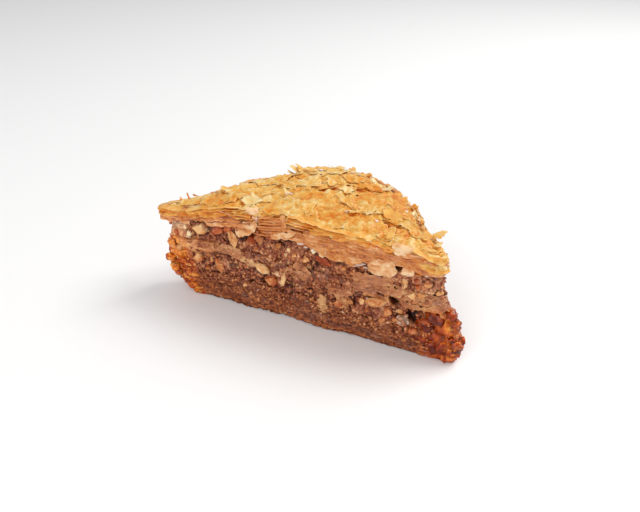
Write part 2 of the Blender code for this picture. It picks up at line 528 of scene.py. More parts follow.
def new_group(name, inputs, outputs):
    """Shader node group with number sockets; returns its tree, given values and result node."""
    tree = bpy.data.node_groups.new(name, "ShaderNodeTree")
    for socket, value in inputs:
        made = tree.interface.new_socket(socket, in_out="INPUT", socket_type="NodeSocketFloat")
        made.default_value = value
    for socket in outputs:
        tree.interface.new_socket(socket, in_out="OUTPUT", socket_type="NodeSocketFloat")
    return tree, tree.nodes.new("NodeGroupInput").outputs, tree.nodes.new("NodeGroupOutput")


def make_crumb_group():
    """Fine crumb: a height for bump and a 0 to 1 mask of paler grains."""
    tree, given, result = new_group("fine_crumb", (("Scale", 900.0),), ("Height", "Mask"))
    fine = add_noise(tree, given["Scale"], 4.0)
    coarse = add_noise(tree, add_math(tree, "MULTIPLY", given["Scale"], 0.27), 3.0)
    height = add_math(tree, "ADD", fine, add_math(tree, "MULTIPLY", coarse, 1.6))
    feed(tree, result, {"Height": height, "Mask": add_range(tree, fine, 0.42, 0.68)})
    return tree


def make_syrup_group():
    """Patchy syrup: where it pools the surface is smoother and coated."""
    tree, given, result = new_group(
        "syrup_shine", (("Scale", 160.0), ("Dry", 0.55), ("Wet", 0.18)), ("Roughness", "Coat"))
    pools = add_range(tree, add_noise(tree, given["Scale"], 3.0), 0.42, 0.62)
    mix = add_node(tree, "Mix", {"Factor": pools, "A": given["Dry"], "B": given["Wet"]})
    feed(tree, result, {"Roughness": mix.outputs["Result"], "Coat": pools})
    return tree


crumb_group, syrup_group = make_crumb_group(), make_syrup_group()
print("shared groups:", crumb_group.name, syrup_group.name)

# %% [markdown]
# ## Mixing a food material
#
# Each material picks its colour along a ramp by the number stored on the mesh, the tone, so that
# every leaf or nut has its own shade. A second stored number, the hollow shade, paints shade into
# cracks and the places between things, and a third, the caramel, says where syrup has baked the food brown.
# Subsurface light softens it all, because pastry and nuts let light in.

# %% Food material builder
CARAMEL_STOPS = ((0.1, 146, 50, 8), (0.5, 206, 94, 22), (0.9, 242, 148, 54))


def srgb(*parts):
    """Colour as seen, 0 to 255, to the linear numbers a shader wants."""
    return (*((part / 255.0 / 12.92 if part / 255.0 <= 0.04045 else ((part / 255.0 + 0.055) / 1.055) ** 2.4)
              for part in parts), 1.0)


def add_ramp(tree, value, stops):
    """Colour ramp; a stop is its place and a colour as seen."""
    node = add_node(tree, "ValToRGB", {"Fac": value})
    elements = node.color_ramp.elements
    while len(elements) < len(stops):
        elements.new(0.5)
    for element, (place, *colour) in zip(elements, stops):
        element.position = place
        element.color = srgb(*colour)
    return node.outputs["Color"]


def add_mix(tree, value_name, first, second):
    """From the first colour to the second, by a number stored on the mesh."""
    share = add_node(tree, "Attribute", attribute_name=value_name).outputs["Fac"]
    return add_node(tree, "Mix", {0: share, 6: first, 7: second}, data_type="RGBA").outputs[2]


def food_material(name, stops, hollow_colour, crumb_scale, bump, dry, wet, glow, depth, coat, grain,
                  shine=0.3):
    """Tone ramp, browned patches, painted shade in the hollows, crumb bump, patchy syrup and a soft inner
    glow.
    """
    material = bpy.data.materials.new(name)
    material.use_nodes = True
    tree = material.node_tree
    crumb = add_node(tree, "Group", {"Scale": crumb_scale}, node_tree=crumb_group).outputs
    syrup = add_node(tree, "Group", {"Dry": dry, "Wet": wet}, node_tree=syrup_group).outputs
    drift = add_math(tree, "ADD", add_range(tree, add_noise(tree, 260.0, 3.0), 0.3, 0.7, -0.12, 0.12),
                     add_range(tree, crumb["Mask"], 0.0, 1.0, -grain, grain))
    stored_tone = add_node(tree, "Attribute", attribute_name="tone").outputs["Fac"]
    tone = add_math(tree, "ADD", stored_tone, drift)
    browned = add_mix(tree, "caramel", add_ramp(tree, tone, stops), add_ramp(tree, tone, CARAMEL_STOPS))
    bumps = add_node(tree, "Bump", {"Strength": 1.0, "Distance": bump, "Height": crumb["Height"]})
    feed(tree, tree.nodes["Principled BSDF"], {
        # Painted shade: the stored hollow shade mixes the colour towards a dark shade colour in cracks, holes
        # and gaps.
        "Base Color": add_mix(tree, "hollow", browned, srgb(*hollow_colour)),
        "Roughness": syrup["Roughness"],
        "Specular IOR Level": shine,
        "Coat Weight": add_math(tree, "MULTIPLY", syrup["Coat"], coat),
        "Coat Roughness": 0.1,
        "Normal": bumps.outputs["Normal"],
        "Subsurface Weight": glow,
        "Subsurface Radius": (1.0, 0.7, 0.5),
        "Subsurface Scale": depth,
    })
    return material


def finish_piece(piece, material, slot, *nodes):
    """Give a piece its material and its body, and hide the solids it stands for; slot is not used."""
    piece.data.materials.append(material)
    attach(piece, "root")
    if nodes:
        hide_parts(*nodes)
    print(piece.name, len(piece.data.polygons), "faces")


# %% Food materials
# The third colour given to each material is its painted shade colour for hollows and gaps.
soaked_material = food_material(
    "soaked_leaves", ((0.0, 86, 34, 12), (0.35, 144, 74, 36), (0.65, 178, 104, 54), (1.0, 226, 168, 108)),
    (60, 20, 7), 1500.0, 0.00014, 0.5, 0.26, 0.3, 0.0012, 0.25, 0.2, shine=0.22)
paste_material = food_material(
    "nut_paste", (
        (0.0, 94, 38, 24), (0.3, 152, 80, 52), (0.55, 188, 116, 74), (0.8, 214, 154, 108),
        (1.0, 232, 192, 154)),
    (42, 14, 8), 1500.0, 0.00016, 0.55, 0.3, 0.3, 0.0012, 0.25, 0.18)
nut_material = food_material(
    "chopped_nuts", (
        (0.0, 140, 52, 12), (0.12, 174, 76, 28), (0.3, 184, 102, 50), (0.5, 212, 146, 86),
        (0.78, 234, 190, 134), (1.0, 248, 222, 180)),
    (92, 40, 20), 1100.0, 0.0002, 0.5, 0.3, 0.35, 0.0015, 0.25, 0.13)
soft_material = food_material(
    "soft_leaves", ((0.0, 124, 58, 28), (0.5, 184, 110, 64), (1.0, 226, 168, 112)),
    (58, 20, 9), 1200.0, 0.0001, 0.4, 0.18, 0.35, 0.0015, 0.4, 0.1)
pressed_material = food_material(
    "pressed_leaves", ((0.0, 150, 66, 16), (0.3, 194, 110, 46), (0.6, 218, 142, 80), (1.0, 248, 202, 156)),
    (132, 54, 14), 900.0, 0.00008, 0.45, 0.22, 0.3, 0.001, 0.3, 0.08)
crust_material = food_material(
    "crisp_leaves", ((0.0, 184, 76, 6), (0.3, 221, 130, 38), (0.65, 233, 172, 84), (1.0, 242, 210, 150)),
    (184, 76, 8), 900.0, 0.00006, 0.44, 0.24, 0.32, 0.001, 0.18, 0.06, shine=0.22)
print(len(bpy.data.materials), "materials")

# %% [markdown]
# ## Browning and air holes
#
# Two things cross all the layers. Syrup has baked dark and sticky at the two lower corners, so a
# function of place says how brown a point is. The cut also has open holes and cracks; the large ones
# are listed, since they give the cut its face, and small ones come from noise elsewhere.

# %% Holes and nuts on the long cut face
HOLES = (
    # x, z, half length, half height, tilt in degrees, depth (mm), all on the long cut face
    (-37.6, 28.0, 1.0, 0.8, 0, 2.4),
    (-34.6, 28.7, 1.7, 0.8, 5, 2.4),
    (-18.2, 33.4, 1.3, 0.5, 20, 1.8),
    (-18.4, 26.9, 3.8, 0.9, 33, 1.3),
    (-4.6, 29.4, 2.9, 0.7, 14, 2.2),
    (-28.0, 18.0, 4.0, 0.55, 8, 2.2),
    (14.5, 25.9, 3.6, 0.6, 18, 1.0),
    (31.0, 29.0, 2.4, 1.0, 0, 1.2),
    (10.0, 15.1, 4.4, 0.45, 4, 1.8),
    (18.6, 15.8, 1.8, 0.6, 20, 1.8),
    (30.4, 17.0, 2.1, 1.2, -48, 2.8),
    (26.2, 18.4, 1.2, 0.6, -10, 1.8),
    (36.0, 13.2, 1.8, 2.1, 10, 2.8),
    (40.0, 15.4, 5.0, 0.7, 8, 1.8),
    (42.2, 13.4, 2.2, 1.0, -25, 2.0),
    (-24.5, 14.6, 2.2, 0.7, 20, 0.8),
    (-15.8, 14.8, 1.8, 0.6, -10, 0.8),
)
FACE_NUTS = (
    # master, x, z, length, width, thickness, turn, tone, how far it stands out (mm, degrees)
    ("chunk", -35.8, 26.2, 6.2, 5.2, 4.6, 12, 0.92, 0.5),
    ("block", -40.3, 23.2, 2.8, 3.0, 2.8, 10, 0.96, 0.6),
    ("block", -41.6, 25.3, 1.9, 2.6, 2.0, 0, 0.84, 0.4),
    ("nib", -29.5, 27.0, 5.0, 4.6, 4.2, 8, 0.44, 0.3),
    ("nib", -25.1, 28.8, 3.8, 3.2, 3.0, 20, 0.50, 0.3),
    ("leafy", -23.6, 24.6, 7.4, 5.8, 4.6, -72, 0.74, 0.8),
    ("sliver", -9.7, 29.6, 3.6, 5.0, 4.0, 24, 0.34, 0.4),
    ("block", 4.0, 28.2, 2.6, 3.0, 2.0, 40, 0.98, 0.5),
    ("wedge", 7.3, 28.2, 3.2, 3.8, 2.6, 25, 0.94, 0.9),
    ("leafy", 7.9, 25.0, 6.6, 5.0, 3.2, -14, 0.26, 0.9),
    ("nib", 1.5, 23.8, 3.0, 2.6, 2.4, 25, 0.74, 0.5),
    ("block", -4.2, 26.4, 2.0, 2.2, 2.0, 0, 0.78, 0.4),
    ("nib", -2.3, 24.6, 1.8, 2.0, 2.0, 0, 0.80, 0.4),
    ("almond", -13.5, 17.3, 5.0, 5.4, 4.8, -16, 0.84, 1.3),
    ("chunk", -10.6, 12.8, 5.4, 4.6, 3.8, 6, 0.5, 0.3),
    ("sliver", -6.4, 14.8, 6.4, 6.2, 5.0, 84, 0.92, 0.5),
    ("nib", -19.6, 9.2, 2.0, 2.0, 2.0, 0, 0.86, 0.4),
    ("leafy", -29.6, 12.8, 6.2, 5.6, 4.4, -68, 0.56, 0.5),
    ("chunk", -37.4, 14.8, 5.0, 4.6, 4.2, 32, 0.62, 0.4),
    ("almond", 25.4, 15.4, 6.8, 5.0, 4.4, 14, 0.68, 1.0),
    ("nib", 20.4, 14.2, 2.6, 3.2, 2.6, 60, 0.86, 0.6),
    ("nib", 28.8, 12.5, 3.4, 4.0, 3.2, 20, 0.72, 0.4),
    ("block", 33.6, 11.4, 3.8, 4.0, 3.4, 15, 0.62, 0.2),
    ("nib", 36.7, 8.4, 3.6, 3.2, 3.0, 0, 0.58, 0.3),
    ("nib", 40.2, 12.2, 4.4, 4.0, 3.4, 0, 0.50, 0.2),
    ("wedge", 33.0, 24.4, 4.6, 3.4, 2.6, 80, 0.82, 0.5),
    ("nib", 31.0, 10.4, 2.2, 2.0, 2.0, 0, 0.70, 0.3),
    ("chunk", 17.0, 23.6, 3.4, 3.0, 2.6, 30, 0.62, 0.2),
    ("chunk", 39.0, 22.0, 3.6, 3.0, 2.8, -30, 0.66, 0.3),
    ("wedge", -44.0, 17.0, 3.6, 3.2, 2.8, 40, 0.60, 0.3),
    ("chunk", 36.2, 21.2, 3.6, 3.2, 2.8, 20, 0.80, 0.4),
    ("leafy", 42.4, 20.4, 3.6, 3.0, 2.2, 40, 0.70, 0.2),
    ("wedge", 43.8, 23.4, 3.0, 2.6, 2.2, -20, 0.76, 0.2),
    ("nib", 39.6, 25.8, 3.0, 2.8, 2.6, 0, 0.66, 0.3),
    ("chunk", 12.6, 10.6, 4.2, 3.8, 3.2, 30, 0.48, 0.2),
    ("wedge", 16.0, 12.4, 3.6, 3.6, 2.8, -40, 0.58, 0.3),
)
print(len(HOLES), "open holes and", len(FACE_NUTS), "nuts on the cut face")

# %% Browning and gaps
FACE_DEPTH = 12.0 * MM


def on_long_face(points):
    """Whether each point lies on the long cut face: far enough in front of the middle."""
    return points[:, 1] < MIDDLE.y - FACE_DEPTH


def caramel_at(points):
    """0 to 1: how brown the syrup has baked a place; most at the two lower corners."""
    x, z = points[:, 0] / MM, points[:, 2] / MM
    right = ease((x - 37.0) / 9.0) * ease((19.5 - z) / 2.5)
    left = ease((-33.8 - x - 0.28 * z) / 7.0) * ease((25.0 - z) / 4.0)
    patches = 0.85 + 0.9 * noise_at(points, 4.5, 91)
    return clamp(np.maximum(right, left) * patches)


def end_glow(points):
    """Lighter tone at the two thin ends, where light comes through the pastry."""
    x = points[:, 0] / MM
    return 0.66 * ease((-36.0 - x) / 11.0) + 0.2 * ease((x - 36.0) / 8.0)


def oval_reach(points, centre_x, centre_z, half_length, half_height, tilt):
    """How far each point lies from a tilted oval's middle on the face, in its own radii (mm)."""
    x, z = points[:, 0] / MM, points[:, 2] / MM
    turn = math.radians(tilt)
    along = ((x - centre_x) * math.cos(turn) + (z - centre_z) * math.sin(turn)) / half_length
    across = ((z - centre_z) * math.cos(turn) - (x - centre_x) * math.sin(turn)) / half_height
    return np.hypot(along, across)


def open_holes(points, seed=0, small=9.0):
    """Depth in metres of the holes at each point; a lower value of small opens more small pits."""
    ragged = 0.3 * noise_at(points, 1.2, seed + 61)
    depth = np.zeros(len(points))
    for *oval, deep in HOLES:
        inside = ease((1.25 - oval_reach(points, *oval) + ragged) / 0.6)
        depth = np.maximum(depth, inside * deep)
    depth *= on_long_face(points)
    pits = ease((-small - noise_at(points, 2.4, seed + 65)) / 0.12) * 1.1
    return np.maximum(depth, pits) * MM


def nut_sockets(points, seed):
    """Depth in metres of the ragged gap that stands round each listed nut."""
    broken = ease(0.5 + 2.2 * noise_at(points, 3.0, seed + 67))
    depth = np.zeros(len(points))
    for _, x, z, length, width, _, tilt, _, _ in FACE_NUTS:
        reach = oval_reach(points, x, z, 0.46 * length, 0.42 * width, tilt)
        depth = np.maximum(depth, ease(1.0 - np.abs(reach - 1.1) / 0.35))
    return depth * broken * on_long_face(points) * 0.9 * MM


for x in (-44, 0, 44):
    corner = np.array([(x * MM, 0.0, 5.0 * MM)])
    print("browning at x", x, "mm:", round(float(caramel_at(corner)[0]), 2))

# %% [markdown]
# ## Soaked leaves at the bottom
#
# About a dozen leaves have drunk the syrup and pressed together. Modelled one by one they would be a
# stack of wet paper; on the real cut they read as fine wavy lines. So the side of one fine slab is
# carved: each leaf's edge swells a little, with a groove under it, and the lines wander.

# %% Base
SOAKED_LEAVES = 13
LEAF_APART = 9.0 * MM


def leaf_lines(points, level, leaves, seed, wander, softness=0.8):
    """Each point's leaf, how much its edge swells there, and a place that gives that leaf its own noise."""
    flat = points * [1.0, 1.0, 0.35]
    phase = (level * leaves + wander * noise_at(flat, 7.0, seed)
             + 0.45 * wander * noise_at(flat, 2.2, seed + 1))
    leaf = np.floor(phase)
    own = points + np.outer(leaf, [0.0, 0.0, LEAF_APART])
    return leaf, np.sin(math.pi * (phase - leaf)) ** softness, own


def carve_soaked(points, level):
    """Leaf lines low down that crumble towards the nuts above."""
    leaf, swell, own = leaf_lines(points, level, SOAKED_LEAVES, 3, 1.5, softness=0.7)
    crumbly = ease((level + 0.5 * noise_at(points, 8.0, 12) - 0.35) / 0.5)
    stand = noise_at(own, 2.6, 5)
    curls = noise_at(own, 1.0, 7)
    grain = noise_at(points, 0.7, 6)
    dents = noise_at(points, 2.4, 8)
    near, edge, lot = cells_at(points * [1.0, 1.0, 1.4], 1.0, 9)
    leaves_out = 0.36 * swell + 0.42 * stand + 0.22 * curls
    crumbs_out = 0.6 * (0.6 - near) + 0.35 * (lot - 0.5)
    out = (blend(leaves_out, crumbs_out, crumbly) + 0.16 * grain + 0.35 * dents) * MM
    leaf_tone = 0.36 + 0.4 * (hashed(leaf, 1.0) - 0.5) + 0.34 * stand + 0.3 * curls
    crumb_tone = 0.42 + 0.75 * (lot - 0.5)
    tone = blend(leaf_tone, crumb_tone, crumbly) + 0.3 * grain
    # Painted shade: darker in the groove under each leaf's edge, in the cracks between crumbs and in the
    # dents.
    hollow = blend(clamp(0.8 - 1.5 * swell, 0.75), clamp(1.0 - edge / 0.22) * 0.5, crumbly)
    hollow = clamp(hollow + clamp(-0.6 * dents - 0.1, 0.4), 0.85)
    return out, {"tone": tone, "hollow": hollow, "caramel": caramel_at(points)}


def carved_layer(name, node, rows, carve, material, slot, rings=FEW_RINGS, **fit):
    """A layer's slab, blanked, bent, carved and finished."""
    piece = bend_slab(blank_slab(name, rows, rings), shapes[node], carve, **fit)
    finish_piece(piece, material, slot, node)


carved_layer("soaked_leaves", "base_pastry", 44, carve_soaked, soaked_material, "soaked_pastry",
             inset=0.25 * MM)

# %% [markdown]
# ## Nut fillings
#
# A filling is paste, crumbs and small air holes. The paste is again one fine slab. Its relief comes
# from cells: every cell is a crumb that bulges, and the seams between cells are cracks. Its floor
# and roof spread raggedly past the layer, since real paste smears over the leaves it lies between.

# %% Paste of both fillings


def carve_filling(seed, soft_level):
    """Carver for a filling that turns paler towards the level where the soft leaves lie."""
    def carve(points, level):
        near, edge, lot = cells_at(points, 1.5, seed)
        fine, fine_edge, fine_lot = cells_at(points, 0.7, seed + 3)
        waves = noise_at(points, 5.5, seed + 7)
        lumps = noise_at(points, 2.6, seed + 9)
        deep = np.maximum(open_holes(points, seed, small=0.46), nut_sockets(points, seed))
        relief = 0.55 * (0.6 - near) + 0.45 * (lot - 0.5) + 0.26 * (0.5 - fine) + 0.5 * waves + 0.45 * lumps
        tone = 0.40 + 0.46 * (lot - 0.5) + 0.42 * (fine_lot - 0.5) + 0.3 * waves
        tone += 0.22 * ease(1.0 - np.abs(level - soft_level) / 0.5 + 0.6 * lumps) + end_glow(points)
        # Painted shade: darker in the cracks between crumbs, in the holes and in the gaps round the nuts, and
        # less on the lumps.
        crack_shade = clamp(1.0 - edge / 0.2) * 0.4 + clamp(1.0 - fine_edge / 0.25) * 0.2
        hollow = clamp(crack_shade + 0.9 * deep / (1.5 * MM) - 0.35 * lumps - 0.08, 0.95)
        return relief * MM - deep, {"tone": tone, "hollow": hollow, "caramel": caramel_at(points)}
    return carve


for name, node, seed, soft_level in (
        ("lower_paste", "lower_nut_filling", 11, 1.2), ("upper_paste", "upper_nut_filling", 23, -0.1)):
    carved_layer(name, node, 26, carve_filling(seed, soft_level), paste_material, "nut_filling",
                 inset=0.35 * MM, spread=0.7 * MM)

# %% [markdown]
# ## Soft leaves in the middle
#
# A few leaves between the two fillings have taken fat and syrup from both sides. They stay pale,
# limp and a little see-through, and the knife has smeared them. One slab with few, soft, broad folds
# gives that, while cracks and holes from the fillings run on into it.

# %% Middle
SOFT_LEAVES = 5
SMEARED_X = (-50, -42, -38, -23, -18, -7, -4, 1, 4, 15, 18, 32, 48)
SMEARED_SHARE = (0.0, 0.0, 0.42, 0.5, -0.6, -0.6, 0.2, 0.2, -0.6, -0.6, 0.5, 0.3, 0.3)


def smeared(points):
    """How far the soft leaves are smeared over the cut: by place on the long face, and 0 elsewhere."""
    return on_long_face(points) * np.interp(points[:, 0] / MM, SMEARED_X, SMEARED_SHARE)


def carve_soft(points, level):
    """Soft folds where the leaves are smeared over the cut, and crumbs where they are not."""
    leaf, swell, own = leaf_lines(points, level, SOFT_LEAVES, 31, 1.1)
    stand = noise_at(own, 5.0, 33)
    folds = noise_at(points * [1.0, 1.0, 0.6], 2.2, 35)
    grain = noise_at(points, 0.9, 37)
    near, edge, lot = cells_at(points, 1.4, 38)
    crumbly = ease(0.5 - 1.6 * smeared(points) + noise_at(points, 4.0, 39))
    deep = open_holes(points, 31, small=0.46)
    leaves_out = 0.2 * swell + 0.65 * stand + 0.4 * folds
    crumbs_out = 0.6 * (0.6 - near) + 0.4 * (lot - 0.5) + 0.4 * stand
    out = (blend(leaves_out, crumbs_out, crumbly) + 0.12 * grain) * MM - deep
    leaf_tone = 0.5 + 0.22 * (hashed(leaf, 4.0) - 0.5) + 0.45 * stand + 0.25 * folds
    crumb_tone = 0.3 + 0.6 * (lot - 0.5) + 0.2 * stand
    # Painted shade: darker in the holes, in the groove under each leaf edge, in the fold valleys and in the
    # cracks between crumbs.
    tone = blend(leaf_tone, crumb_tone, crumbly) + 0.2 * grain + end_glow(points) - 0.6 * deep / MM
    groove_shade = clamp(0.4 - 1.2 * swell, 0.4) + clamp(-0.8 * folds - 0.1, 0.5)
    hollow = blend(groove_shade, clamp(1.0 - edge / 0.2) * 0.5, crumbly) + 0.9 * deep / (1.5 * MM)
    return out, {"tone": tone, "hollow": clamp(hollow, 0.92), "caramel": caramel_at(points)}


carved_layer("soft_leaves", "middle_pastry", 24, carve_soft, soft_material, "soft_pastry",
             inset=0.35 * MM, spread=0.3 * MM)

# %% [markdown]
# ## The body of the crust
#
# The crust is ten or so crisp leaves with air between them. Behind the leaves that show, one more
# carved slab closes the view, set back a little so that it lies in the leaves' shade.

# %% Crust body
CRISP_LEAVES = 9
MANY_RINGS = (0.985, 0.95, 0.9, 0.8, 0.7, 0.6, 0.5, 0.4, 0.3, 0.2)


def carve_crisp(points, level):
    """Plain leaf lines, darker low down, with painted shade in the groove under each leaf edge and in the
    holes.
    """
    leaf, swell, own = leaf_lines(points, level, CRISP_LEAVES, 41, 1.0)
    stand = noise_at(own, 3.0, 43)
    deep = open_holes(points, 41)
    # Painted shade: the tone falls in the holes, and the grooves under the leaf edges are darkened.
    tone = 0.25 + 0.35 * level + 0.35 * (hashed(leaf, 6.0) - 0.5) + 0.3 * stand
    hollow = clamp(0.85 - 1.5 * swell, 0.75) + 0.9 * deep / (1.5 * MM)
    return (0.25 * swell + 0.5 * stand) * MM - deep, {"tone": tone - 1.0 * deep / MM, "hollow": clamp(hollow)}


crust_shape = shapes["top_pastry"]
carved_layer("crust_body", "top_pastry", 36, carve_crisp, pressed_material, "baked_flakes",
             rings=MANY_RINGS, inset=0.8 * MM, sink=2.6 * MM)

# %% [markdown]
# ## Leaf edges round the crust
#
# At the cut each leaf shows as a thin wavering edge. One leaf is a flat ring: a circle, extruded
# inwards a few times, bent to the layer's outline at its own height, torn away here and there, and
# given its thickness by Solidify. Every leaf stands out differently and dips where it was not held.

# %% Torn and thickened sheets


def select_only(piece):
    deselect_all()
    piece.select_set(True)
    bpy.context.view_layer.objects.active = piece


def trim_sheet(piece, kept, rounds=2, edge_highlight=0.0):
    """Delete the points that are not kept, smooth the torn edge, and paint a highlight along it by raising
    its tone.
    """
    mesh = bmesh.new()
    mesh.from_mesh(piece.data)
    mesh.verts.ensure_lookup_table()
    bmesh.ops.delete(mesh, geom=[mesh.verts[i] for i in np.nonzero(~kept)[0]], context="VERTS")
    for _ in range(4):
        strays = [vertex for vertex in mesh.verts if not vertex.link_faces
                  or sum(edge.is_boundary for edge in vertex.link_edges) > 2]
        bmesh.ops.delete(mesh, geom=strays, context="VERTS")
        wires = [edge for edge in mesh.edges if not edge.link_faces]
        bmesh.ops.delete(mesh, geom=wires, context="EDGES")
    rim = [vertex for vertex in mesh.verts if vertex.is_boundary]
    for _ in range(rounds):
        bmesh.ops.smooth_vert(mesh, verts=rim, factor=0.5, use_axis_x=True, use_axis_y=True, use_axis_z=True)
    # Painted highlight: the torn edge is made paler.
    if edge_highlight:
        tones = mesh.verts.layers.float["tone"]
        for vertex in rim:
            vertex[tones] += edge_highlight
    mesh.to_mesh(piece.data)
    mesh.free()
    return piece


def thicken(piece, thickness):
    """Solidify a sheet about its middle and apply."""
    select_only(piece)
    solid = piece.modifiers.new("thickness", "SOLIDIFY")
    solid.thickness = thickness
    solid.offset = 0.0
    bpy.ops.object.modifier_apply(modifier=solid.name)
    piece.data.shade_smooth()
    return piece


def join_pieces(pieces, name):
    select_only(pieces[0])
    for piece in pieces:
        piece.select_set(True)
    bpy.ops.object.join()
    return named(pieces[0], name)


print("sheet tools ready")

# %% Leaf rings
EDGE_LEAVES = 10
EDGE_RINGS = (0.994, 0.984, 0.96)
LEAF_THICKNESS = 0.22 * MM
RING_WIDTH = 45.0 * MM
LEAF_STAND, LEAF_DROOP, TORN_FROM = 0.7, 0.8, 0.25


def leaf_ring(level, seed, tone):
    """One leaf's edge: it wavers in and out, droops, and is missing where torn."""
    piece = unit_loop("leaf", SLAB_STATIONS)
    shrink_rings(EDGE_RINGS)
    leave_edit()
    ring, share = round_drum(read_points(piece))
    flat = crust_shape.side_points(share, level) * [1, 1, 0]
    slow = noise_at(flat, 7.0, seed)
    quick = noise_at(flat, 1.7, seed + 1)
    out = (LEAF_STAND * (0.3 + slow) + 0.25 * quick) * MM
    inward = (1.0 - ring) * RING_WIDTH
    placed = crust_shape.side_points(share, level, out - inward)
    near_edge = clamp(1.0 - inward / (2.2 * MM))
    ripple = noise_at(flat, 2.4, seed + 3)
    sway = noise_at(flat, 9.0, 47)
    dip = clamp(noise_at(flat, 10.0, seed + 5) + 0.1) * LEAF_DROOP
    placed[:, 2] += (0.22 * ripple + 0.55 * sway - near_edge ** 2 * (dip - 0.14 * quick)) * MM
    write_points(piece, placed)
    # Painted shade: each leaf darkens inwards from its edge, under the leaves above it.
    write_values(piece, tone=tone + 0.16 * quick + 0.22 * slow,
                 hollow=clamp(inward / (1.2 * MM) - 0.2) * 0.7)
    missing = noise_at(flat, 5.0, seed + 2) + 0.25 * noise_at(flat, 1.2, seed + 4)
    trim_sheet(piece, (missing < TORN_FROM) & (open_holes(placed, seed) < 0.5 * MM))
    return thicken(piece, LEAF_THICKNESS)


edges = []
for leaf in range(EDGE_LEAVES):
    level = 0.9 * (leaf + 0.4) / EDGE_LEAVES
    shade = 0.28 + 0.5 * level + 0.3 * (hashed(leaf, 51) - 0.5)
    edges.append(leaf_ring(level, 51 + 6 * leaf, shade))
finish_piece(join_pieces(edges, "crust_edges"), pressed_material, "baked_flakes", "top_pastry")

# %% [markdown]
# ## Leaves pressed over the cut
#
# The knife drags the soft lower leaves down over the filling, so much of the cut shows not edges but
# a limp wrinkled skin with a scalloped hem. Each skin is a band: a circle extruded upwards, bent to
# hang a little in front of the layer, torn through in places and thickened.

# %% Pressed bands
BAND_STATIONS, BAND_ROWS = 800, 24


def behind(points):
    """0 at the long cut face, 1 from 12 mm behind it on: the top lies lower there."""
    return ease((points[:, 1] - MIDDLE.y + 17.0 * MM) / (12.0 * MM))


def pressed_band(shape, crest, hem, out, tone, cover, seed, roll=0.0, smooth=0.0,
                 thickness=0.15 * MM, ragged=1.0, rise=None):
    """A skin hung from level crest down to its hem, kept where cover(points) is above 0.

    The hem is a short list of (x, z) in mm, the tone its shade, and out how far the skin hangs in
    front. With a roll, its upper edge is pulled in over the roof by that many millimetres, and
    smooth takes its wrinkles away; ragged is how deep its hem is scalloped. With a rise, the skin is
    a shingle: it reaches only that far above its own hem and is shaded under the one above it.
    """
    piece = unit_loop("skin", BAND_STATIONS)
    raise_rows(BAND_ROWS)
    leave_edit()
    unit = read_points(piece)
    _, share = round_drum(unit)
    drop = clamp(1.0 - unit[:, 2])
    flat = shape.side_points(share, 0.5) * [1, 1, 0]
    scallop = 0.9 * noise_at(flat, 4.5, seed) + 0.55 * noise_at(flat, 1.5, seed + 1)
    hem_height = np.interp(flat[:, 0] / MM, *zip(*hem)) * MM + ragged * scallop * MM
    station = (share * STATIONS).astype(int) % STATIONS
    hem_level = (hem_height - shape.low[station]) / (shape.high[station] - shape.low[station])
    top = crest if rise is None else np.minimum(hem_level + rise, crest)
    top = top + 0.12 * noise_at(flat, 6.0, seed + 2) - 0.16 * behind(flat)
    # Painted shade: a shingle darkens just under the hem of the one above it.
    tucked = 0.0 if rise is None else 0.75 * ease((0.62 - drop) / 0.14)
    level = top + (hem_level - top) * drop
    guess = shape.side_points(share, level)
    bend = guess + np.outer(0.9 * MM * noise_at(guess, 5.0, seed + 6), [0.0, 0.0, 1.0])
    streaks = noise_at(bend * [0.45, 0.45, 2.3], 1.7, seed + 3)
    threads = noise_at(bend * [0.4, 0.4, 2.0], 0.75, seed + 7)
    fine = noise_at(guess, 0.9, seed + 4)
    sway = noise_at(flat, 6.0, seed + 5)
    wrinkled = 1.0 - smooth
    chin = 0.6 * ease((-43.0 - flat[:, 0] / MM) / 5.0) * clamp(1.0 - level) * (shape is crust_shape)
    push = (chin + out * (0.15 + 0.85 * drop ** 1.5) + 0.4 * sway * (0.3 + drop)
            + wrinkled * (0.4 * streaks + 0.14 * threads + 0.3 * fine) - roll * (1.0 - drop) ** 2.5) * MM
    write_points(piece, shape.side_points(share, level, push))
    # Painted shade: the wrinkle valleys darken, and the shade under the shingle above is kept where it is
    # darker.
    write_values(
        piece, tone=tone + wrinkled * (0.26 * streaks + 0.18 * threads) + 0.16 * fine + 0.24 * sway,
        hollow=np.maximum(wrinkled * clamp(-0.7 * streaks - 0.12, 0.4), tucked), caramel=caramel_at(guess))
    trim_sheet(piece, (cover(guess) > 0.0) & (open_holes(guess, seed) < 0.5 * MM), rounds=3, edge_highlight=0.22)
    return thicken(piece, thickness)


print("bands have", BAND_STATIONS * BAND_ROWS, "faces before they are torn")

# %% Skins on the crust and on the soft leaves
STACK_X = (-14.0, -6.0)
STACK_LEFT, STACK_RIGHT = 31.6, 33.2
STACK_SHEETS = 5
HEM_LOW = ((-47, 28.6), (-39, 28.0), (-31, 28.6), (-26, 29.6), (-14, 31.0), (-9, 30.0), (-3, 30.9), (0, 30.4),
           (4, 29.0), (8, 27.4), (11, 26.2), (17, 27.8), (22, 29.2), (35, 29.4), (43, 29.7))
HEM_MIDDLE = ((-47, 29.6), (-30, 31.0), (-14, 32.4), (0, 31.6), (10, 30.6), (24, 31.4), (34, 31.6),
              (43, 31.2))
HEM_HIGH = ((-47, 31.0), (-30, 33.0), (-14, 34.6), (0, 33.8), (10, 33.2), (24, 33.6), (34, 33.6), (43, 32.6))
HEM_SOFT = ((-46, 20.5), (-30, 18.6), (-12, 17.6), (6, 16.6), (20, 17.8), (28, 18.6), (31, 18.4), (33, 16.4),
            (36, 15.9), (41, 16.5), (46, 17.2))
HEM_SOFT_HIGH = ((-46, 22.5), (-30, 20.6), (-12, 19.6), (6, 19.0), (20, 19.6), (46, 19.4))


